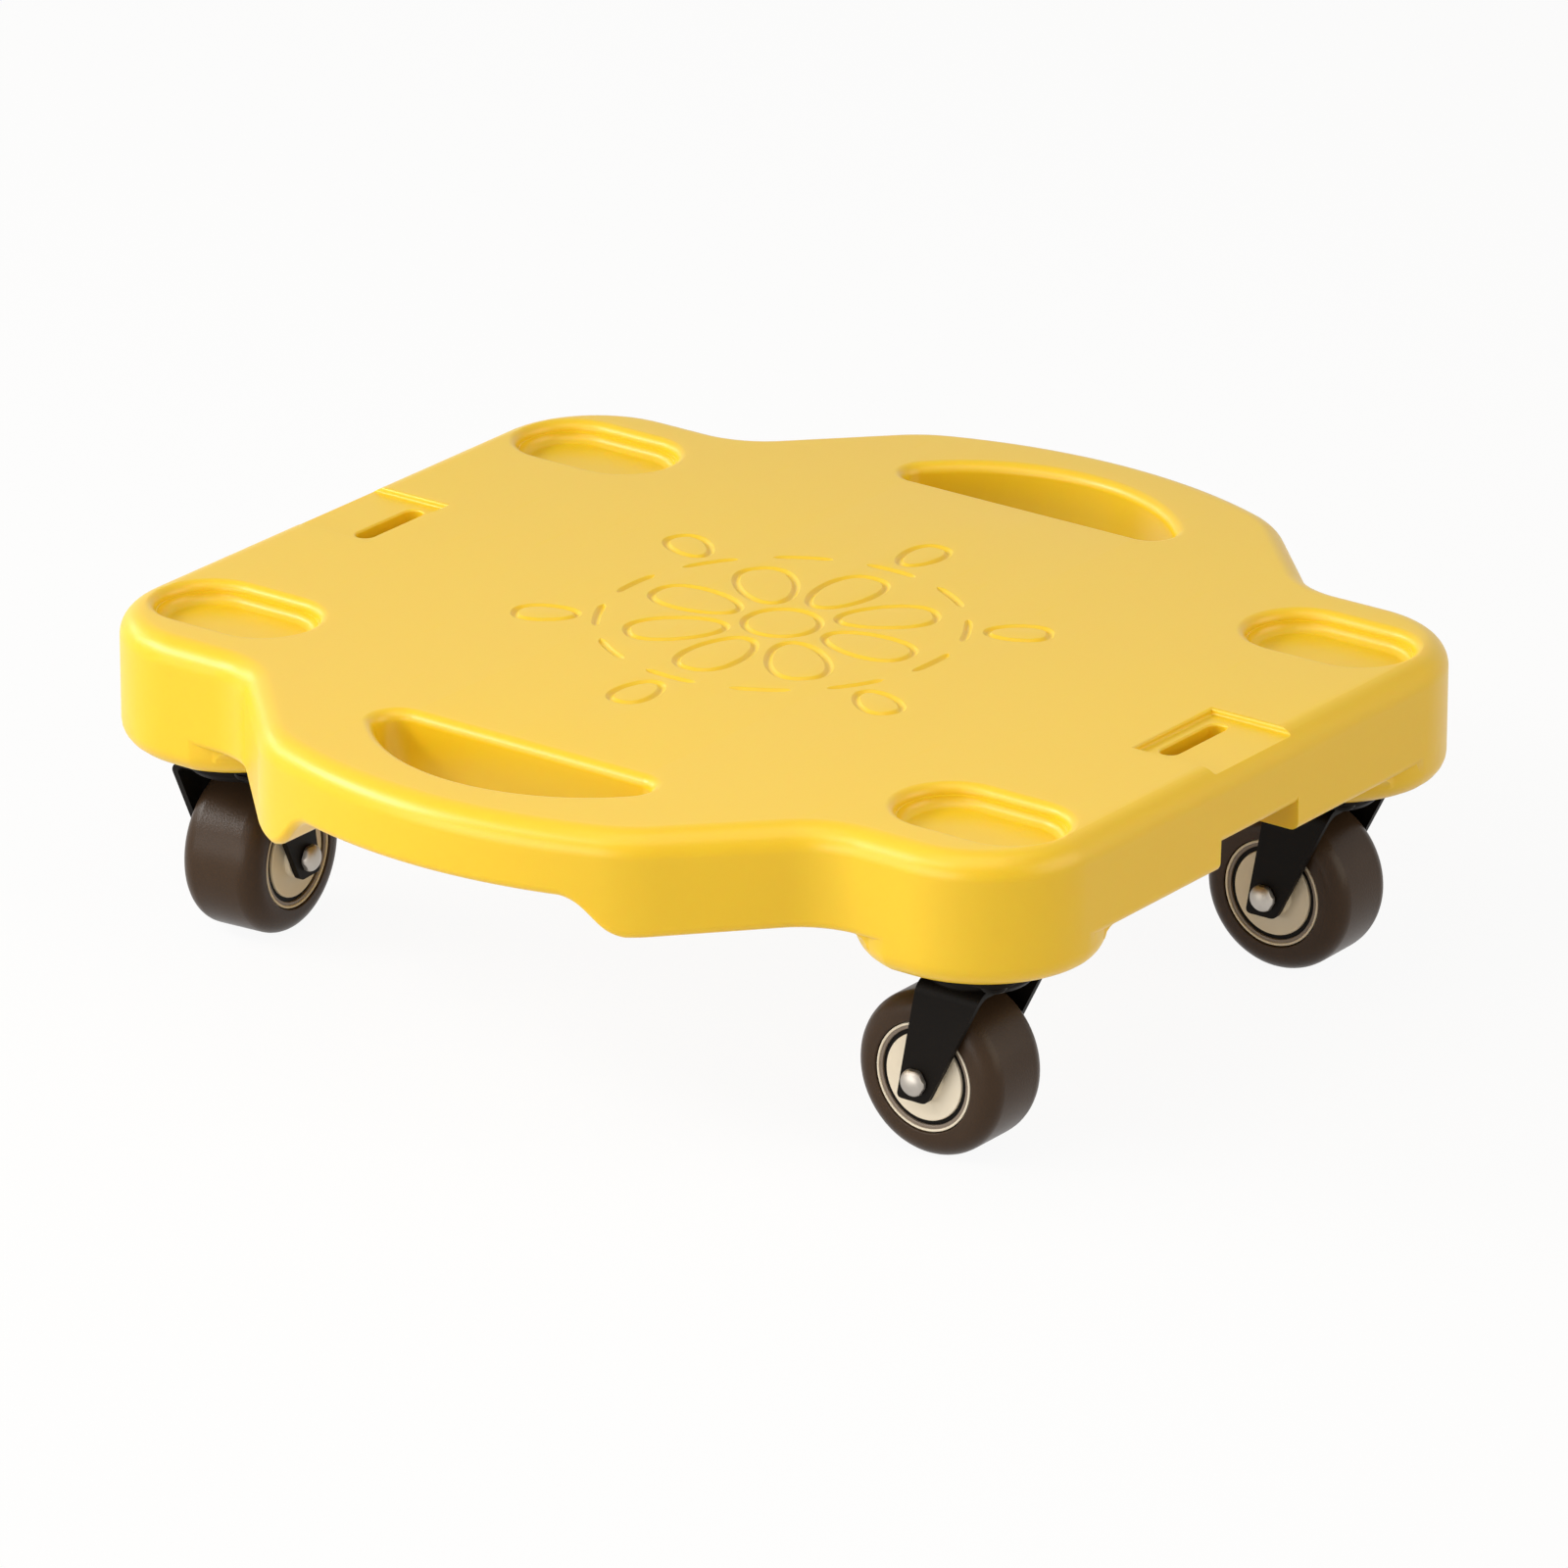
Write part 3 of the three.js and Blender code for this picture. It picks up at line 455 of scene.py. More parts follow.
def softenEdges(piece, width, segments, angle):
    modifier = piece.modifiers.new("soft edges", "BEVEL")
    modifier.width = width * mm
    modifier.segments = segments
    modifier.limit_method = "ANGLE"
    modifier.angle_limit = radians(angle)
    applyModifiers(piece)


def smoothShade(piece, angle):
    mesh = piece.data
    mesh.polygons.foreach_set("use_smooth", [True] * len(mesh.polygons))
    mesh.set_sharp_from_angle(angle=radians(angle))
    modifier = piece.modifiers.new("even shading", "WEIGHTED_NORMAL")
    modifier.keep_sharp = True
    modifier.weight = 100
    applyModifiers(piece)


def startTree(name, sizes):  # a geometry tree with named inputs for its sizes
    tree = bpy.data.node_groups.new(name, "GeometryNodeTree")
    for way in ("INPUT", "OUTPUT"):
        tree.interface.new_socket("Geometry", in_out=way, socket_type="NodeSocketGeometry")
    for label in sizes:
        kind = "NodeSocketInt" if isinstance(sizes[label], int) else "NodeSocketFloat"
        socket = tree.interface.new_socket(label, in_out="INPUT", socket_type=kind)
        socket.default_value = sizes[label]
    inputs = tree.nodes.new("NodeGroupInput")
    return tree, {socket.name: Signal(tree, socket) for socket in inputs.outputs if socket.name}


def finishTree(shape, material):
    real = shape.node("GeometryNodeRealizeInstances", {"Geometry": shape})
    dressed = shape.node("GeometryNodeSetMaterial", {"Geometry": real, "Material": material})
    shape.node("NodeGroupOutput", {"Geometry": dressed})


def copiesAt(points, piece, turn=(0.0, 0.0, 0.0)):
    values = {"Points": points, "Instance": piece, "Rotation": turn}
    return points.node("GeometryNodeInstanceOnPoints", values)


def dress(piece, material):
    piece.data.materials.clear()
    piece.data.materials.append(material)


def growTree(piece, tree, sizes):  # runs the tree on a piece and leaves a plain mesh
    modifier = piece.modifiers.new("grown", "NODES")
    modifier.node_group = tree
    for item in tree.interface.items_tree:
        if item.in_out == "INPUT" and item.name in sizes:
            modifier[item.identifier] = sizes[item.name]
    applyModifiers(piece)
    return piece


# the deck moulding, its cuts and the drawing pressed into it

deck = {
    "halfLength": 175.0,
    "halfWidth": 124.3,
    "cornerRadius": 37.0,
    "handleReach": 179.7,
    "bulgeRadius": 163.6,
    "shoulderRadius": 43.5,
    "shoulderCentreY": 43.45,
    "waistCentreY": 119.47,
    "waistFillet": 26.8,
    "skirtDepth": 31.8,
    "handleDepth": 21.3,
    "notchDepth": 23.4,
    "bossDepth": 41.1,
    "rimRadius": 8.0,
    "edgeRadius": 3.0,
    "bossRadius": 36.5,
    "bossEdge": 6.8,
    "bossFoot": 4.0,
    "casterX": 88.9,
    "casterY": 138.6,
    "gripFront": (48.3, 66.5),  # where the slopes start and end, from the middle
    "gripBack": (45.5, 63.5),
    "gripFoot": 66.0,
    "gripEase": 0.6,
    "footFront": (0.8, 14.0),  # how much deeper the foot of each slope is, and over what length that fades
    "footBack": (2.0, 14.0),
    "notchHalfWidth": 20.5,
    "notchDraft": 0.8,
}
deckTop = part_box("deck")[1].z / mm
below = deckTop - 60.0  # lower than the whole moulding


def deckOutline(inset):
    bulge, shoulder, waist = deck["bulgeRadius"], deck["shoulderRadius"], deck["waistFillet"]
    corner, shoulderY, waistY = deck["cornerRadius"], deck["shoulderCentreY"], deck["waistCentreY"]
    centreX, waistX = deck["handleReach"] - bulge, deck["halfWidth"] + waist
    bulgeEnd = asin(shoulderY / (bulge - shoulder))
    shoulderX = centreX + (bulge - shoulder) * cos(bulgeEnd)
    run, rise = waistX - shoulderX, waistY - shoulderY
    shoulderEnd = atan2(rise, run) - acos((shoulder + waist) / hypot(run, rise))
    cornerX, cornerY = deck["halfWidth"] - corner, deck["halfLength"] - corner
    quarter = arcPoints(centreX, 0, bulge - inset, 0, bulgeEnd, 56)[1:]
    quarter += arcPoints(shoulderX, shoulderY, shoulder - inset, bulgeEnd, shoulderEnd, 28)[1:]
    quarter += arcPoints(waistX, waistY, waist + inset, shoulderEnd + pi, pi, 20)
    quarter += arcPoints(cornerX, cornerY, corner - inset, 0, pi / 2, 20)
    mirrored = [(-x, y) for x, y in reversed(quarter)]
    half = [(deck["handleReach"] - inset, 0)] + quarter + mirrored
    return half + [(-x, -y) for x, y in half]


def deckBlock(name, depth, edge, top):
    low = roundFoot(0, deckTop - depth, edge, 6)
    return stackLoops(name, [(deckOutline(inset), z) for inset, z in low + [(0, top)]])


def skirtBottom(y):  # the wall is shallow at the grips and slopes down to the corner pads
    near, foot = deck["gripFront"] if y < 0 else deck["gripBack"]
    share = min(1, max(0, (abs(y) - near) / (foot - near)))
    fall = share - deck["gripEase"] * sin(2 * pi * share) / (2 * pi)
    extra, length = deck["footFront"] if y < 0 else deck["footBack"]
    beyond = max(0, abs(y) - foot) / length
    depth = deck["skirtDepth"] + extra * exp(-beyond * beyond)
    return deckTop - deck["handleDepth"] - (depth - deck["handleDepth"]) * fall


def skirtedBlock(name):  # the whole moulding with its lower edge rounded all along the slopes
    foot = [skirtBottom(y) for x, y in deckOutline(0)]
    count, half = len(foot), len(foot) // 2
    low = roundFoot(0, 0, deck["edgeRadius"], 6)
    high = roundTop(0, deckTop, deck["rimRadius"], 12)
    vertices = []
    for inset, rise in low:
        vertices += [(x, y, foot[i] + rise) for i, (x, y) in enumerate(deckOutline(inset))]
    for inset, z in high:
        vertices += [(x, y, z) for x, y in deckOutline(inset)]
    rows = [list(range(k * count, (k + 1) * count)) for k in range(len(low) + len(high))]
    faces = bridge(rows)
    quarter = (half - 1) // 2
    for i in range(-quarter, quarter):  # strips from side to side close the bottom and the top
        corners = [i % count, (i + 1) % count, (half - i - 1) % count, (half - i) % count]
        faces += [corners[::-1], [rows[-1][c] for c in corners]]
    return solidFrom(name, vertices, faces)


def notchChannel():
    wide, narrow = deck["notchHalfWidth"], deck["notchHalfWidth"] - deck["notchDraft"]
    roof = deckTop - deck["notchDepth"] + deck["edgeRadius"]
    foot = deckTop - deck["skirtDepth"] - 2 * past
    section = [(wide, foot), (narrow, roof), (-narrow, roof), (-wide, foot)]
    return prismAlong("notchChannel", section)


def casterSeat(x, y):
    bottom, pad = deckTop - deck["bossDepth"], deckTop - deck["skirtDepth"]
    radius, curve, foot, edge = (deck[k] for k in ("bossRadius", "bossEdge", "bossFoot", "edgeRadius"))
    profile = [(0, bottom)] + [(radius - inset, z) for inset, z in roundFoot(0, bottom, curve, 8)]
    seat = revolve("casterSeat", profile + [(radius, pad + 2 * edge), (0, pad + 2 * edge)], 112)
    shift(seat, x, y)
    wall = deckBlock("seatBlock", deck["bossDepth"], curve, deckTop - deck["rimRadius"])
    combine(seat, [wall], "INTERSECT")
    flared = [(radius + inset, z) for inset, z in roundTop(0, pad, foot, 6)]
    profile = [(0, pad - foot)] + flared + [(radius + foot, pad + edge), (0, pad + edge)]
    flare = revolve("seatFoot", profile, 112)
    shift(flare, x, y)
    inner = deckOutline(edge)  # so the foot stays inside the rounded lower edge of the wall
    inside = stackLoops("footBlock", [(inner, pad - 2 * foot), (inner, pad + 2 * edge)])
    combine(flare, [inside], "INTERSECT")
    combine(seat, [flare], "UNION")
    return seat


tray = {"halfWidth": 16.5, "halfLength": 27.0, "depth": 6.5, "draft": 0.3, "rim": 3.2, "floor": 3.2}


def trayCut(x, y):
    levels = roundFoot(tray["draft"], deckTop - tray["depth"], tray["floor"], 8)
    levels += [(-inset, z) for inset, z in roundTop(0, deckTop, tray["rim"], 8)]
    levels.append((-tray["rim"], deckTop + past))
    return pocket("trayCut", x, y, tray["halfLength"], tray["halfWidth"], levels, 24)


handSlot = {"outerX": 158.2, "width": 33.0, "arcRadius": 64.0, "corner": 7.0, "rim": 3.6, "foot": 2.0}


def handSlotLoop(inset):
    outerX, radius, corner = handSlot["outerX"], handSlot["arcRadius"], handSlot["corner"]
    arcX, cornerX = outerX - radius, outerX - handSlot["width"] + corner
    cornerY = sqrt((radius - corner) ** 2 - (cornerX - arcX) ** 2)
    turn = atan2(cornerY, cornerX - arcX)
    loop = arcPoints(arcX, 0, radius - inset, -turn, turn, 40)[:-1]
    loop += arcPoints(cornerX, cornerY, corner - inset, turn, pi, 16)
    return loop + arcPoints(cornerX, -cornerY, corner - inset, pi, 2 * pi - turn, 16)[:-1]


def handSlotCut(turned):
    foot, rim = handSlot["foot"], handSlot["rim"]
    slab = deckTop - deck["handleDepth"] - foot
    levels = [(foot, slab - past)] + roundFoot(0, slab + foot, foot, 6)
    levels += roundTop(0, deckTop, rim, 8) + [(rim, deckTop + past)]
    cut = stackLoops("handSlotCut", [(handSlotLoop(-inset), z) for inset, z in levels])
    if turned:
        cut.data.transform(Matrix.Rotation(pi, 4, "Z"))
    return cut


cordSlot = {
    "recessHalfWidth": 19.7,
    "recessInner": 143.7,
    "recessOuter": 182.0,
    "recessDepth": 2.0,
    "recessEdge": 0.95,
    "halfLength": 14.7,
    "halfWidth": 3.0,
    "rim": 0.8,
    "y": 150.8,
}


def cordCuts(side):
    floor, edge, rim = deckTop - cordSlot["recessDepth"], cordSlot["recessEdge"], cordSlot["rim"]
    levels = [(-inset, z) for inset, z in roundFoot(0, floor, edge, 5)]
    levels += roundTop(0, deckTop, edge, 5) + [(edge, deckTop + past)]
    loops = []
    for grow, z in levels:
        wide, inner = cordSlot["recessHalfWidth"] + grow, (cordSlot["recessInner"] - grow) * side
        loops.append((rectangle(-wide, inner, wide, cordSlot["recessOuter"] * side), z))
    recess = stackLoops("cordRecess", loops)
    levels = [(0, below)] + [(-inset, z) for inset, z in roundTop(0, floor, rim, 4)]
    levels.append((-rim, deckTop + past))
    y, length, width = cordSlot["y"] * side, cordSlot["halfLength"], cordSlot["halfWidth"]
    return [recess, pocket("cordSlot", 0, y, length, width, levels, 12, alongX=True)]


dimple = {
    "halfWidth": 7.0,
    "draft": 2.5,
    "mouth": 0.8,
    "floor": 2.0,
    "slabHalfLength": 34.0,
    "slabDepth": 7.0,
    "slabPitch": 40.0,
    "slabCount": 5,
    "padHalfLength": 36.0,
    "padDepth": 12.0,
}


def dimpleCut(x, y, length, faceDepth, depth):
    face, draft, mouth, floor = deckTop - faceDepth, dimple["draft"], dimple["mouth"], dimple["floor"]
    levels = [(-draft - mouth, face - 2 * past)] + roundTop(-draft - mouth, face + mouth, mouth, 4)
    levels += roundTop(draft - floor, face + depth, floor, 5)
    return pocket("dimpleCut", x, y, length, dimple["halfWidth"], levels, 12)


def dimpleRow():
    sizes = {"Count": dimple["slabCount"], "Pitch": dimple["slabPitch"] * mm}
    tree, inputs = startTree("row of dimples", sizes)
    step = inputs["Pitch"].node("ShaderNodeCombineXYZ", {"X": inputs["Pitch"]})
    first = inputs["Pitch"] * ((1 - dimple["slabCount"]) / 2)
    start = first.node("ShaderNodeCombineXYZ", {"X": first})
    values = {"Count": inputs["Count"], "Start Location": start, "Offset": step}
    line = step.node("GeometryNodeMeshLine", values)
    finishTree(copiesAt(line, inputs["Geometry"]), deckPlastic)
    single = dimpleCut(0, 0, dimple["slabHalfLength"], deck["handleDepth"], dimple["slabDepth"])
    return growTree(single, tree, sizes)


# the drawing pressed into the top: a flower, a ring of dashes and a ring of leaves
drawing = {
    "grooveHalfWidth": 1.5,
    "grooveDepth": 0.95,
    "grooveSection": [(-1.3, 0.16), (-1.0, 0.0), (-0.78, -0.24), (-0.5, -0.62), (-0.25, -0.9), (0.0, -1.0)],
    "grooveTaper": 3.75,  # over this length an open groove runs out at its ends
    "grooveEnd": 0.12,
    "petals": 8,
    "petal": (17.0, 47.0, 9.6),  # inner and outer radius, half width
    "eyeRadius": 11.5,
    "dashes": 12,
    "dashRadius": 56.0,
    "dashSweep": 19.0,
    "leaves": 6,
    "leaf": (62.0, 81.0, 6.5),
    "leafBlunt": 0.85,
    "leafBase": 0.69,
    "leafSwell": 0.46,  # how much wider than that the outer end is
}


def grooveCut(name, path, closed):
    half, depth, taper = drawing["grooveHalfWidth"], drawing["grooveDepth"], drawing["grooveTaper"]
    shares = drawing["grooveSection"]
    lower = shares + [(-a, b) for a, b in reversed(shares[:-1])]
    wide, count = -shares[0][0], len(path)
    lengths = [0.0]
    for (x0, y0), (x1, y1) in zip(path, path[1:]):
        lengths.append(lengths[-1] + hypot(x1 - x0, y1 - y0))
    vertices, rows = [], []
    for i, (x, y) in enumerate(path):
        before = path[i - 1] if i or closed else path[i]
        after = path[(i + 1) % count] if i < count - 1 or closed else path[i]
        run = hypot(after[0] - before[0], after[1] - before[1])
        nx, ny = (after[1] - before[1]) / run, (before[0] - after[0]) / run
        fromEnd = taper if closed else min(lengths[i], lengths[-1] - lengths[i], taper)
        swell = max(drawing["grooveEnd"], sqrt(1 - (1 - fromEnd / taper) ** 2))
        row = [(a * half * swell, b * depth * swell) for a, b in lower]
        row += [(wide * half * swell, 2.0), (-wide * half * swell, 2.0)]
        rows.append([len(vertices) + k for k in range(len(row))])
        vertices += [(x + nx * a, y + ny * a, deckTop + b) for a, b in row]
    ends = [] if closed else [rows[0], rows[-1][::-1]]
    return solidFrom(name, vertices, bridge(rows, closed) + ends)


def leafLoop(inner, outer, halfWidth, steps):  # a pointed oval along +X with a rounder outer end
    upper = []
    for i in range(steps + 1):
        share = i / steps
        wide = halfWidth * (drawing["leafBase"] + drawing["leafSwell"] * share)
        along = inner + (outer - inner) * (1 - cos(pi * share)) / 2
        upper.append((along, wide * sin(pi * share) ** drawing["leafBlunt"]))
    return upper + [(x, -y) for x, y in reversed(upper[1:-1])]


def ringOfCuts(single, count, name):
    sizes = {"Count": count, "Turn": 2 * pi / count}
    tree, inputs = startTree(name, sizes)
    values = {"Count": inputs["Count"], "Offset": (0.0, 0.0, 0.0)}
    line = inputs["Count"].node("GeometryNodeMeshLine", values)
    index = line.node("GeometryNodeInputIndex")
    turn = line.node("ShaderNodeCombineXYZ", {"Z": index * inputs["Turn"]})
    finishTree(copiesAt(line, inputs["Geometry"], turn), deckPlastic)
    return growTree(single, tree, sizes)


def drawingCuts():
    petal, leaf = leafLoop(*drawing["petal"], 34), leafLoop(*drawing["leaf"], 24)
    eye = arcPoints(0, 0, drawing["eyeRadius"], 0, 2 * pi, 60)[:-1]
    sweep = radians(drawing["dashSweep"]) / 2
    dash = arcPoints(0, 0, drawing["dashRadius"], -sweep, sweep, 16)
    cuts = [ringOfCuts(grooveCut("petal", petal, True), drawing["petals"], "ring of petals")]
    cuts.append(grooveCut("eye", eye, True))
    cuts.append(ringOfCuts(grooveCut("dash", dash, False), drawing["dashes"], "ring of dashes"))
    cuts.append(ringOfCuts(grooveCut("leaf", leaf, True), drawing["leaves"], "ring of leaves"))
    return cuts


def makeDeck():
    body = skirtedBlock("deckMoulding")
    combine(body, [notchChannel()], "DIFFERENCE")
    roof = deckBlock("notchRoof", deck["notchDepth"], deck["edgeRadius"], deckTop - deck["rimRadius"])
    loop = rectangle(-deck["notchHalfWidth"], -aside, deck["notchHalfWidth"], aside)
    combine(roof, [stackLoops("notchBand", [(loop, below), (loop, deckTop)])], "INTERSECT")
    corners = fourCorners(deck["casterX"], deck["casterY"])
    combine(body, [roof] + [casterSeat(x, y) for x, y in corners], "UNION")
    print("deck block joined")
    cuts = [trayCut(x, y) for x, y in corners] + [handSlotCut(False), handSlotCut(True)]
    cuts += cordCuts(1) + cordCuts(-1) + [dimpleRow()]
    padX = (deck["notchHalfWidth"] + deck["casterX"] - deck["bossRadius"]) / 2
    padY = (deck["gripFoot"] + deck["halfLength"]) / 2
    for x, y in fourCorners(padX, padY):
        cuts.append(dimpleCut(x, y, dimple["padHalfLength"], deck["skirtDepth"], dimple["padDepth"]))
    combine(body, cuts, "DIFFERENCE")
    combine(body, drawingCuts(), "DIFFERENCE")
    return body


deckMoulding = makeDeck()
smoothShade(deckMoulding, 38)
dress(deckMoulding, deckPlastic)
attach(deckMoulding, "board")
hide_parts("deck")
print("deck made:", len(deckMoulding.data.polygons), "faces")

# the caster is made once, kingpin on Z and axle trailing at +X, then shared out to the four corners

caster = {
    "wheelRadius": 25.4,
    "tyreWidth": 27.6,
    "tyreShoulder": 6.2,
    "tyreBead": 0.5,
    "tyreLip": 0.6,
    "hubRadius": 16.8,
    "hubRingWidth": 1.9,
    "hubGrooveWidth": 1.4,
    "hubLipWidth": 0.8,
    "hubGrooveDepth": 2.2,
    "hubBore": 4.3,
    "hubBossWall": 2.2,
    "axleRadius": 2.5,
    "acrossFlats": 8.0,
    "domeWidth": 1.06,  # the dome of heads and nuts, as a share of that width
    "headHeight": 3.4,
    "headDome": 2.6,
    "nutHeight": 4.0,
    "nutDome": 1.4,
    "boltTail": 1.2,
    "threadPitch": 0.8,
    "threadDepth": 0.42,
    "threadInset": 0.5,
    "chamfer": 0.6,
    "bushWall": 1.2,
    "sideClearance": 1.5,
    "sheet": 2.0,
    "bend": 4.5,
    "crownBottom": 55.6,
    "legFoot": (-4.0, 6.8),  # the leg from back to front, here from the axle and at the top from the pin
    "legFootDrop": 6.5,
    "legTop": (-11.8, 10.8),
    "crownRadius": 16.6,
    "crownRimWidth": 1.8,
    "crownRimHeight": 2.4,
    "kingpinRadius": 3.5,
    "kingpinHead": 6.0,
    "kingpinHeadHeight": 1.9,
    "ballRadius": 1.6,
    "ballPitch": 10.6,
    "balls": 14,
    "cage": (0.9, 0.5),  # half width and half height
    "plateHalf": 22.4,
    "plateCorner": 7.5,
    "plateThickness": 2.0,
    "racewayHeight": 1.5,
    "racewayRadius": 13.6,
    "screwPitchHalf": 17.0,
    "screwHole": 2.3,
    "gap": 0.3,
}
numbers = (1, 2, 3, 4)
jointOf = {joint["name"]: joint for joint in frame["joints"]}
boltSides = {1: 1, 2: 1, 3: 1, 4: -1}  # which side of each fork its bolt head is on
gap = caster["gap"]
legInner = caster["tyreWidth"] / 2 + caster["sideClearance"]
legOuter = legInner + caster["sheet"]
crownTop = caster["crownBottom"] + caster["sheet"]
ballHeight = crownTop + gap + caster["ballRadius"]
racewayBottom = ballHeight + caster["ballRadius"] + gap
plateBottom = racewayBottom + caster["racewayHeight"]
plateTop = plateBottom + caster["plateThickness"]
wheelAt = Vector(jointOf["wheel_spin_1"]["pos_m"]) - Vector(jointOf["swivel_turn_1"]["pos_m"])
trail = hypot(wheelAt.x, wheelAt.y) / mm
axleHeight = jointOf["wheel_spin_1"]["pos_m"][2] / mm


def casterPlace(number):  # from the caster's own frame at rest to the board's
    x, y = jointOf[f"swivel_turn_{number}"]["pos_m"][:2]
    axleX, axleY = jointOf[f"wheel_spin_{number}"]["pos_m"][:2]
    heading = atan2(axleY - y, axleX - x)
    return Matrix.Translation((x, y, 0)) @ Matrix.Rotation(heading, 4, "Z")


def shareOut(master, name, body, node, material, turns=None):
    dress(master, material)
    for number in numbers:
        mesh = master.data.copy()
        local = turns[number] if turns else Matrix.Identity(4)
        mesh.transform(casterPlace(number) @ local)
        piece = addObject(f"{name}_{number}", mesh)
        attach(piece, f"{body}_{number}" if body != "board" else body)
        if node:
            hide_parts(f"{node}_{number}")
    bpy.data.objects.remove(master)


def finishPiece(piece, angle, onAxle=True):  # shades a piece and moves a wheel's or bolt's to the axle
    smoothShade(piece, angle)
    if onAxle:
        shift(piece, trail, 0, axleHeight)
    return piece


def makeTyre():  # a rounded bar swept round the hub
    outer, inner = caster["wheelRadius"], caster["hubRadius"] + gap
    sizes = {
        "Middle radius": (outer + inner) / 2 * mm,
        "Thickness": (outer - inner) * mm,
        "Width": caster["tyreWidth"] * mm,
        "Shoulder": caster["tyreShoulder"] * mm,
        "Bead": caster["tyreBead"] * mm,
        "Steps": 96,
    }
    tree, inputs = startTree("wheel ring", sizes)
    values = {"Width": inputs["Thickness"], "Height": inputs["Width"]}
    bar = inputs["Width"].node("GeometryNodeCurvePrimitiveQuadrilateral", values)
    place = bar.node("GeometryNodeInputPosition")
    across = place.node("ShaderNodeSeparateXYZ", {"Vector": place}, output="X")
    outside = across.maths("GREATER_THAN", across, 0.0)
    radius = outside * inputs["Shoulder"] + (1 - outside) * inputs["Bead"]
    values = {"Curve": bar, "Count": 9, "Radius": radius}
    rounded = bar.node("GeometryNodeFilletCurve", values, {"mode": "POLY"})
    values = {"Resolution": inputs["Steps"], "Radius": inputs["Middle radius"]}
    path = bar.node("GeometryNodeCurvePrimitiveCircle", values)
    values = {"Curve": path, "Profile Curve": rounded}
    finishTree(bar.node("GeometryNodeCurveToMesh", values), rubber)
    tyre = growTree(solidFrom("tyre", [], []), tree, sizes)
    tyre.data.transform(Matrix.Rotation(pi / 2, 4, "X"))
    faceOutwards(tyre.data)
    return finishPiece(tyre, 50)


def filleted(points, radius, steps):  # rounds the corners of an open or closed (r, y) profile
    closed = points[0] == points[-1]
    ring = points[:-1] if closed else points
    made = []
    for i, point in enumerate(ring):
        if not closed and i in (0, len(ring) - 1):
            made.append(point)
            continue
        here, before, after = Vector(point), Vector(ring[i - 1]), Vector(ring[(i + 1) % len(ring)])
        into, out = before - here, after - here
        size = min(radius, into.length * 0.45, out.length * 0.45)
        first, last = here + into.normalized() * size, here + out.normalized() * size
        for k in range(steps + 1):
            t = k / steps
            spot = first.lerp(here, t).lerp(here.lerp(last, t), t)
            made.append((spot.x, spot.y))
    return made + [made[0]] if closed else made


hubFace = caster["tyreWidth"] / 2 - caster["tyreLip"]
hubFloor = hubFace - caster["hubGrooveDepth"]
ringInner = caster["hubRadius"] - caster["hubRingWidth"]
discRadius = ringInner - caster["hubGrooveWidth"]


def makeHub():
    wall = caster["hubBore"] + caster["hubBossWall"]
    bossFace = legInner - 2 * gap
    half = [(caster["hubBore"], bossFace), (wall, bossFace), (wall + 0.3, hubFace), (discRadius, hubFace)]
    half += [(discRadius, hubFloor), (caster["hubRadius"], hubFloor)]
    profile = half + [(r, -y) for r, y in reversed(half)]
    return finishPiece(revolve("hub", filleted(profile + [profile[0]], 0.5, 4), 96, alongY=True), 50)


def makeRings(name, inner, outer, low, high, soften):  # one ring on each face of the wheel
    half = rectangle(inner, low, outer, high) + [(inner, low)]
    near = revolve(name, filleted(half, soften, 5), 96, alongY=True)
    far = revolve(name, filleted([(r, -y) for r, y in half], soften, 5), 96, alongY=True)
    combine(near, [far], "UNION")
    return finishPiece(near, 50)


def hexBlank(height, dome):  # a hexagon with its top turned to a low dome, standing on Z = 0
    half = caster["acrossFlats"] / 2
    blank = rod("hexBlank", half / cos(pi / 6), 0, height + 1, 6)
    wide = half * caster["domeWidth"]
    turned = [(0, -1), (wide, -1)]
    turned += [(wide * a, height - dome + dome * b) for a, b in arcPoints(0, 0, 1, 0, pi / 2, 16)[:-1]]
    combine(blank, [revolve("turnedOff", turned + [(0, height)], 64)], "INTERSECT")
    return blank


def makeBolt():
    head = hexBlank(caster["headHeight"], caster["headDome"])
    head.data.transform(Matrix.Rotation(-pi / 2, 4, "X"))
    shift(head, 0, legOuter + gap)
    radius, pitch = caster["axleRadius"], caster["threadPitch"]
    tail = -legOuter - gap - caster["nutHeight"] - caster["boltTail"]
    profile = [(0, tail), (radius - caster["chamfer"], tail)]
    y = tail + caster["threadInset"]
    while y < -legInner - caster["threadInset"]:
        profile += [(radius, y), (radius - caster["threadDepth"], y + pitch / 2)]
        y += pitch
    end = legOuter + 2 * gap
    shank = revolve("shank", profile + [(radius, y), (radius, end), (0, end)], 40, alongY=True)
    combine(head, [shank], "UNION")
    softenEdges(head, 0.2, 2, 50)
    return finishPiece(head, 35)


def makeNut():
    high, hole, chamfer = caster["nutHeight"], caster["axleRadius"] + gap, caster["chamfer"]
    nut = hexBlank(high, caster["nutDome"])
    bore = [(0, -1), (hole + chamfer, -1), (hole + chamfer, 0), (hole, chamfer), (hole, high - chamfer)]
    bore += [(hole + chamfer, high), (hole + chamfer, high + past), (0, high + past)]
    combine(nut, [revolve("bore", bore, 40)], "DIFFERENCE")
    nut.data.transform(Matrix.Rotation(pi / 2, 4, "X"))
    shift(nut, 0, -legOuter - gap)
    softenEdges(nut, 0.12, 2, 50)
    return finishPiece(nut, 35)


def makeBush():
    bore, end = caster["axleRadius"] + gap, legInner - gap
    profile = rectangle(bore, -end, bore + caster["bushWall"], end) + [(bore, -end)]
    return finishPiece(revolve("bush", filleted(profile, 0.25, 3), 48, alongY=True), 50)


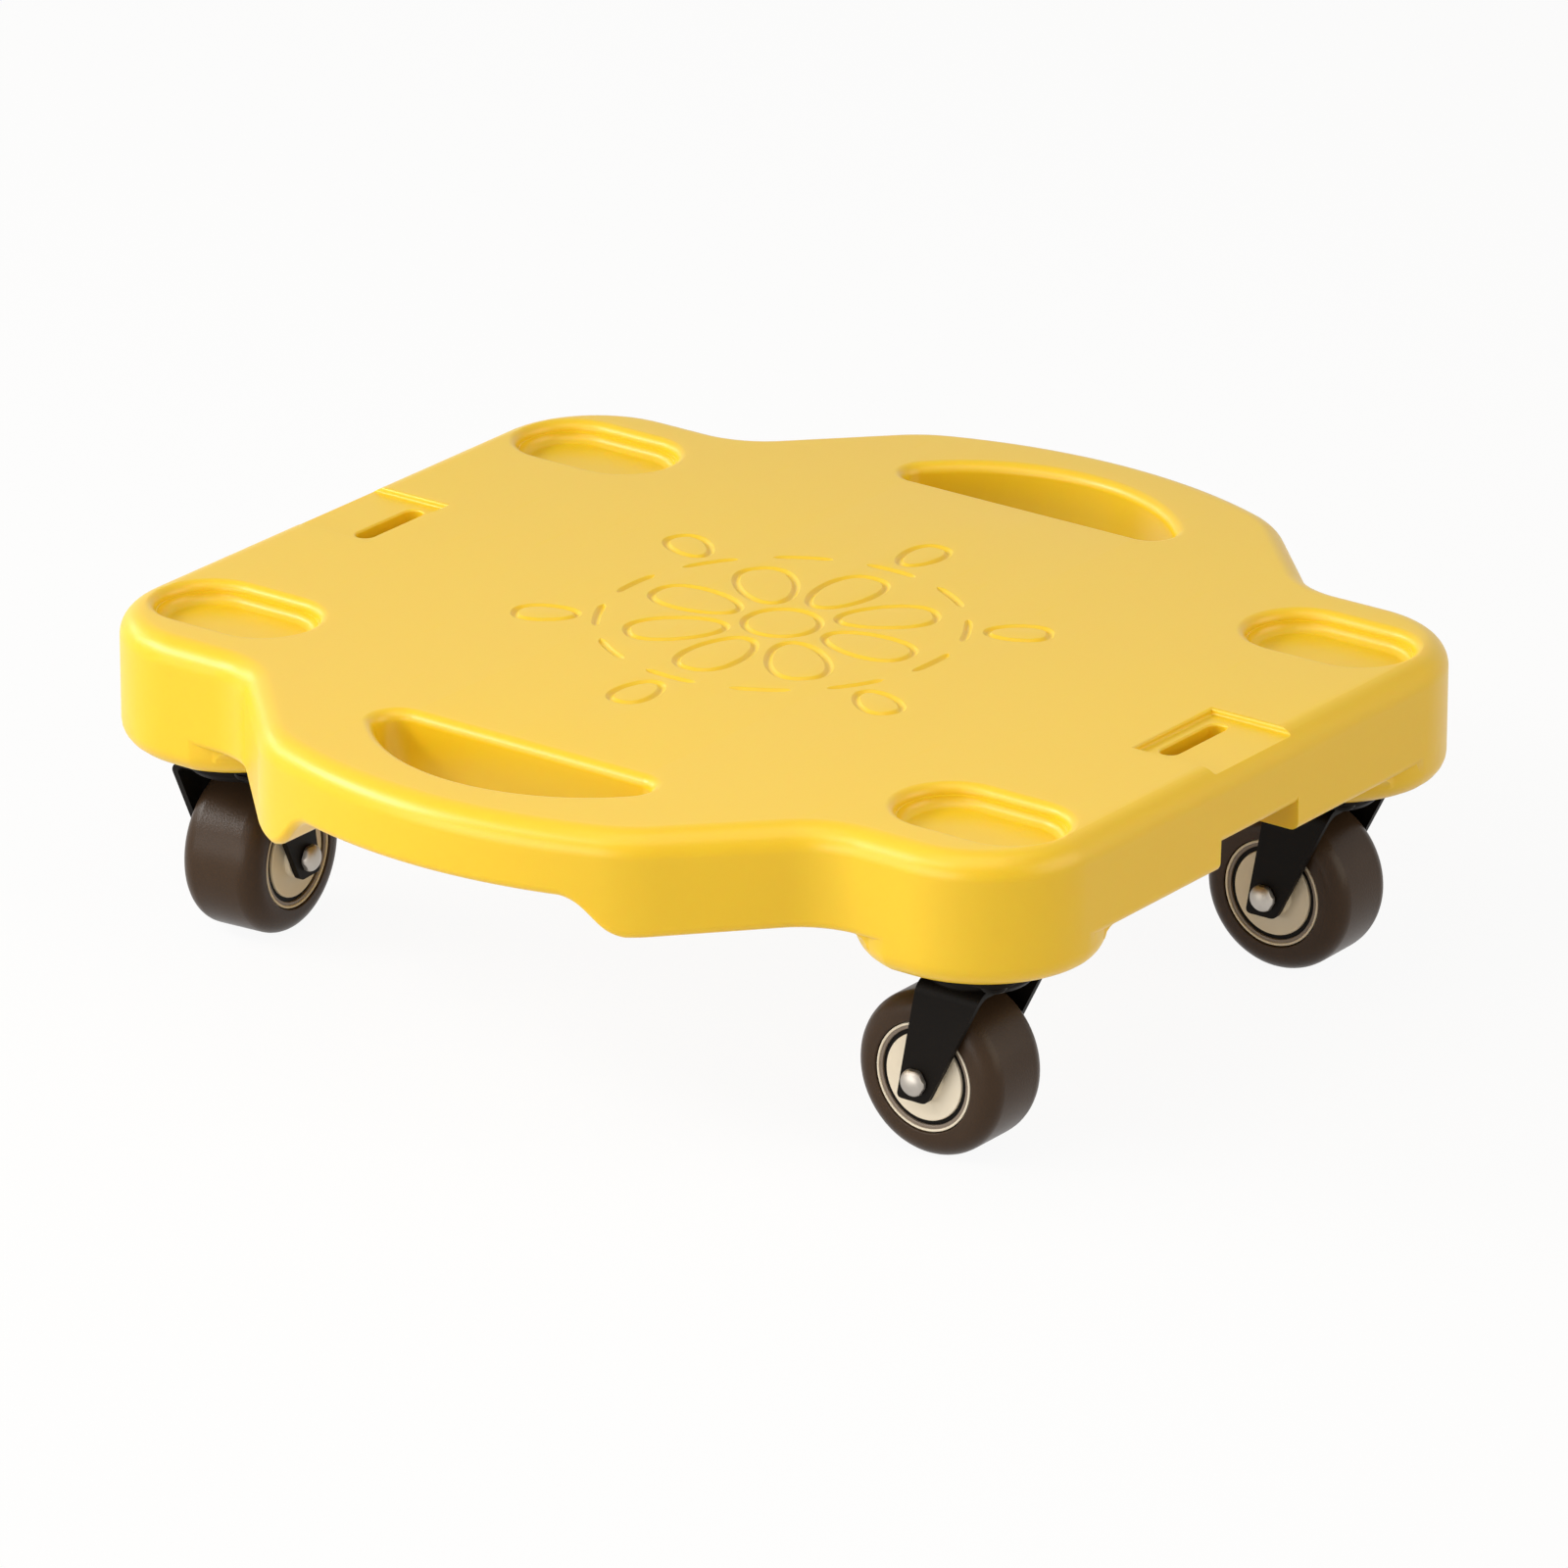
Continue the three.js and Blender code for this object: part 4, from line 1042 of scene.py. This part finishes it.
def makeFork():
    foot, inner = axleHeight - caster["legFootDrop"], caster["bend"] - caster["sheet"]
    low = caster["crownBottom"]
    inside = [(legInner, foot - past)] + arcPoints(legInner - inner, low - inner, inner, 0, pi / 2, 10)
    outside = arcPoints(legOuter - caster["bend"], crownTop - caster["bend"], caster["bend"], 0, pi / 2, 14)
    outside.insert(0, (legOuter, foot - past))
    outline = inside + [(-a, z) for a, z in reversed(inside)]
    outline += [(-a, z) for a, z in outside] + outside[::-1]
    fork = prismAlong("fork", outline, alongX=True)
    rear, front = caster["legTop"]
    side = [(trail + reach, foot) for reach in caster["legFoot"]]
    side += [(front, low), (front, crownTop + past), (rear, crownTop + past), (rear, low)]
    trim = prismAlong("trim", filleted(side + [side[0]], 2.0, 6)[:-1])
    combine(fork, [trim], "INTERSECT")
    wide, high = caster["crownRadius"], crownTop + caster["crownRimHeight"]
    narrow = wide - caster["crownRimWidth"]
    profile = [(0, low), (narrow, low), (wide, crownTop), (wide, high), (narrow, high), (narrow, crownTop)]
    dish = revolve("dish", filleted(profile + [(0, crownTop)], 0.7, 4), 72)
    combine(fork, [dish], "UNION")
    pin = rod("pinHole", caster["kingpinRadius"] + gap, low - past, high + past, 48)
    bore = rod("axleHole", caster["axleRadius"] + gap, -legOuter - past, legOuter + past, 40, alongY=True)
    shift(bore, trail, 0, axleHeight)
    combine(fork, [pin, bore], "DIFFERENCE")
    softenEdges(fork, 0.3, 2, 50)
    return finishPiece(fork, 35, onAxle=False)


def makeKingpin():
    head, radius, high = caster["kingpinHead"], caster["kingpinRadius"], caster["kingpinHeadHeight"]
    lowTop, upLow = caster["crownBottom"] - gap, plateTop - high
    profile = [(0, lowTop - high), (head * 0.55, lowTop - high + 0.1), (head * 0.9, lowTop - high * 0.62)]
    profile += [(head, lowTop - high * 0.2), (head, lowTop), (radius, lowTop), (radius, upLow)]
    profile += [(head, upLow), (head, plateTop - 0.3), (head - 0.5, plateTop), (0, plateTop)]
    return finishPiece(revolve("kingpin", profile, 48), 40, onAxle=False)


def plateLoop(inset):
    corner, centre = caster["plateCorner"], caster["plateHalf"] - caster["plateCorner"]
    points = []
    for k, (x, y) in enumerate(rectangle(centre, centre, -centre, -centre)):
        points += arcPoints(x, y, corner - inset, k * pi / 2, (k + 1) * pi / 2, 10)
    return points


def makePlate():
    levels = [(0.35, plateBottom), (0.1, plateBottom + 0.1), (0, plateBottom + 0.35)]
    levels += [(0, plateTop - 0.2), (0.2, plateTop)]
    plate = stackLoops("casterPlate", [(plateLoop(inset), z) for inset, z in levels])
    wide, low = caster["racewayRadius"], racewayBottom
    middle = plateBottom + 0.5  # so the raceway joins the plate
    profile = [(0, low), (wide - caster["racewayHeight"], low), (wide, plateBottom)]
    profile += [(wide, middle), (0, middle)]
    combine(plate, [revolve("raceway", filleted(profile, 1.0, 5), 72)], "UNION")
    head, hole = caster["kingpinHead"] + gap, caster["kingpinRadius"] + gap
    floor = plateTop - caster["kingpinHeadHeight"] - gap
    cuts = [rod("headDish", head, floor, plateTop + past, 48)]
    cuts.append(rod("pinHole", hole, low - past, plateTop + past, 48))
    for x, y in fourCorners(caster["screwPitchHalf"], caster["screwPitchHalf"]):
        drill = rod("drill", caster["screwHole"], low - past, plateTop + past, 24)
        shift(drill, x, y)
        cuts.append(drill)
    combine(plate, cuts, "DIFFERENCE")
    return finishPiece(plate, 35, onAxle=False)


shareOut(makeTyre(), "tyreRing", "wheel", "tyre", rubber)
shareOut(makeHub(), "wheelCore", "wheel", "hub", hubPlastic)
lipInner = caster["hubRadius"] - caster["hubLipWidth"]
overlap = 0.4  # how far the rings reach into the hub
rings = {  # name: (inner and outer radius, low and high, edge), slot, material
    # the band's darker brown finish is painted shade of the recessed band
    "rimBandPaintedShade": (
        (ringInner, lipInner + 0.2, hubFloor - overlap, hubFace - 0.15, 0.4), "wheel_core", shadedRimPlastic,
    ),
    # the lip is in the pale core plastic, lighter than the band as a painted highlight along the ring's
    # edge
    "rimLipHighlight": (
        (lipInner, caster["hubRadius"], hubFloor - overlap, hubFace + 0.25, 0.4), "wheel_core", hubPlastic,
    ),
    # a near-black ring at the floor of the groove, as painted shade in the groove
    "grooveShadeRing": (
        (discRadius - 0.3, ringInner + 0.3, hubFloor - 0.3, hubFace - 0.9, 0.3), "tyre_rubber", blackSteel,
    ),
}
for ringName, (ringSizes, ringSlot, ringMaterial) in rings.items():
    shareOut(makeRings(ringName, *ringSizes), ringName, "wheel", None, ringMaterial)
shareOut(makeFork(), "forkPressing", "swivel", "fork", blackSteel)
otherSide = Matrix.Translation((2 * trail * mm, 0, 0)) @ Matrix.Rotation(pi, 4, "Z")
toSide = {number: otherSide if side < 0 else Matrix.Identity(4) for number, side in boltSides.items()}
shareOut(makeBolt(), "hexBolt", "swivel", "axle_bolt", zincSteel, toSide)
shareOut(makeNut(), "hexNut", "swivel", "axle_nut", zincSteel, toSide)
shareOut(makeBush(), "plainBush", "swivel", "axle_bush", zincSteel)
shareOut(makeKingpin(), "kingpinRivet", "board", "kingpin", blackSteel)
shareOut(makePlate(), "topPlate", "board", "caster_plate", blackSteel)
print("caster pieces made")

# what repeats at the four corners is grown on a grid of them


def cornerGrid(inputs, x="Corner X", y="Corner Y"):  # four points
    values = {"Size X": inputs[x], "Size Y": inputs[y], "Vertices X": 2, "Vertices Y": 2}
    return inputs[x].node("GeometryNodeMeshGrid", values)


cornerSizes = {"Corner X": 2 * deck["casterX"] * mm, "Corner Y": 2 * deck["casterY"] * mm}


def makeBallRaces():
    sizes = {
        "Balls": caster["balls"],
        "Ball radius": caster["ballRadius"] * mm,
        "Pitch": caster["ballPitch"] * mm,
        "Height": ballHeight * mm,
        **cornerSizes,
    }
    tree, inputs = startTree("ball races", sizes)
    values = {"Vertices": inputs["Balls"], "Radius": inputs["Pitch"]}
    circle = inputs["Pitch"].node("GeometryNodeMeshCircle", values)
    values = {"Segments": 20, "Rings": 12, "Radius": inputs["Ball radius"]}
    ball = circle.node("GeometryNodeMeshUVSphere", values)
    lift = circle.node("ShaderNodeCombineXYZ", {"Z": inputs["Height"]})
    values = {"Geometry": copiesAt(circle, ball), "Translation": lift}
    raised = circle.node("GeometryNodeTransform", values)
    smooth = circle.node("GeometryNodeSetShadeSmooth", {"Geometry": raised})
    finishTree(copiesAt(cornerGrid(inputs), smooth), zincSteel)
    return growTree(solidFrom("raceBalls", [], []), tree, sizes)


def makeCages():
    pitch, (half, high) = caster["ballPitch"], caster["cage"]
    profile = rectangle(pitch - half, ballHeight - high, pitch + half, ballHeight + high)
    cage = revolve("raceCages", profile + profile[:1], 64)
    tree, inputs = startTree("cages", cornerSizes)
    finishTree(copiesAt(cornerGrid(inputs), inputs["Geometry"]), blackSteel)
    return growTree(cage, tree, cornerSizes)


screw = {
    "radius": 2.0,
    "headRadius": 3.9,
    "headHeight": 2.2,
    "headDome": [(0, 0), (0.55, 0.12), (0.85, 0.6), (1, 1.3)],  # share of the radius, height
    "length": 16.0,
    "tip": 3.0,
    "neck": 4.0,
    "threadPitch": 1.4,
    "threadDepth": 0.45,
    "slot": (2.3, 0.45),  # half length and half width of each arm of the cross
    "slotWall": 0.9,
    "slotDepth": 1.7,
    "slotTaper": 0.35,
    "seed": 7,
}


def makeScrews():
    radius, head, pitch = screw["radius"], screw["headRadius"], screw["threadPitch"]
    top = plateBottom - gap
    low, tip = top - screw["headHeight"], top + screw["length"]
    profile = [(head * share, low + rise) for share, rise in screw["headDome"]]
    profile += [(head, top), (radius, top)]
    z = top + screw["neck"]
    while z < tip - screw["tip"]:
        profile += [(radius - screw["threadDepth"], z), (radius, z + pitch / 2)]
        z += pitch
    single = revolve("plateScrews", profile + [(0, tip)], 28)
    taper = screw["slotTaper"]
    for x, y in (screw["slot"], screw["slot"][::-1]):
        loop = rectangle(-x, -y, x, y)
        levels = [(loop, low - 1), (loop, low + screw["slotWall"])]
        levels.append(([(a * taper, b * taper) for a, b in loop], low + screw["slotDepth"]))
        combine(single, [stackLoops("crossSlot", levels)], "DIFFERENCE")
    smoothShade(single, 40)
    sizes = {"Screw pitch": 2 * caster["screwPitchHalf"] * mm, **cornerSizes}
    tree, inputs = startTree("plate screws", sizes)
    square = cornerGrid(inputs, "Screw pitch", "Screw pitch")
    grid = cornerGrid(inputs)
    points = grid.node("GeometryNodeRealizeInstances", {"Geometry": copiesAt(grid, square)})
    values = {2: 0.0, 3: 2 * pi, "Seed": screw["seed"]}  # 2 and 3 are the sockets for the range
    angle = grid.node("FunctionNodeRandomValue", values, output=1)
    turn = grid.node("ShaderNodeCombineXYZ", {"Z": angle})
    finishTree(copiesAt(points, inputs["Geometry"], turn), blackSteel)
    return growTree(single, tree, sizes)


raceBalls, raceCages, plateScrews = makeBallRaces(), makeCages(), makeScrews()
for piece, slot, nodes in (
    (raceBalls, "zinc_steel", [f"ball_race_{k}" for k in numbers]),
    (raceCages, "black_steel", []),
    (plateScrews, "black_steel", [f"plate_screw_{k}_{j}" for k in numbers for j in numbers]),
):
    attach(piece, "board")
    if nodes:
        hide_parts(*nodes)
print("balls, cages and screws made")
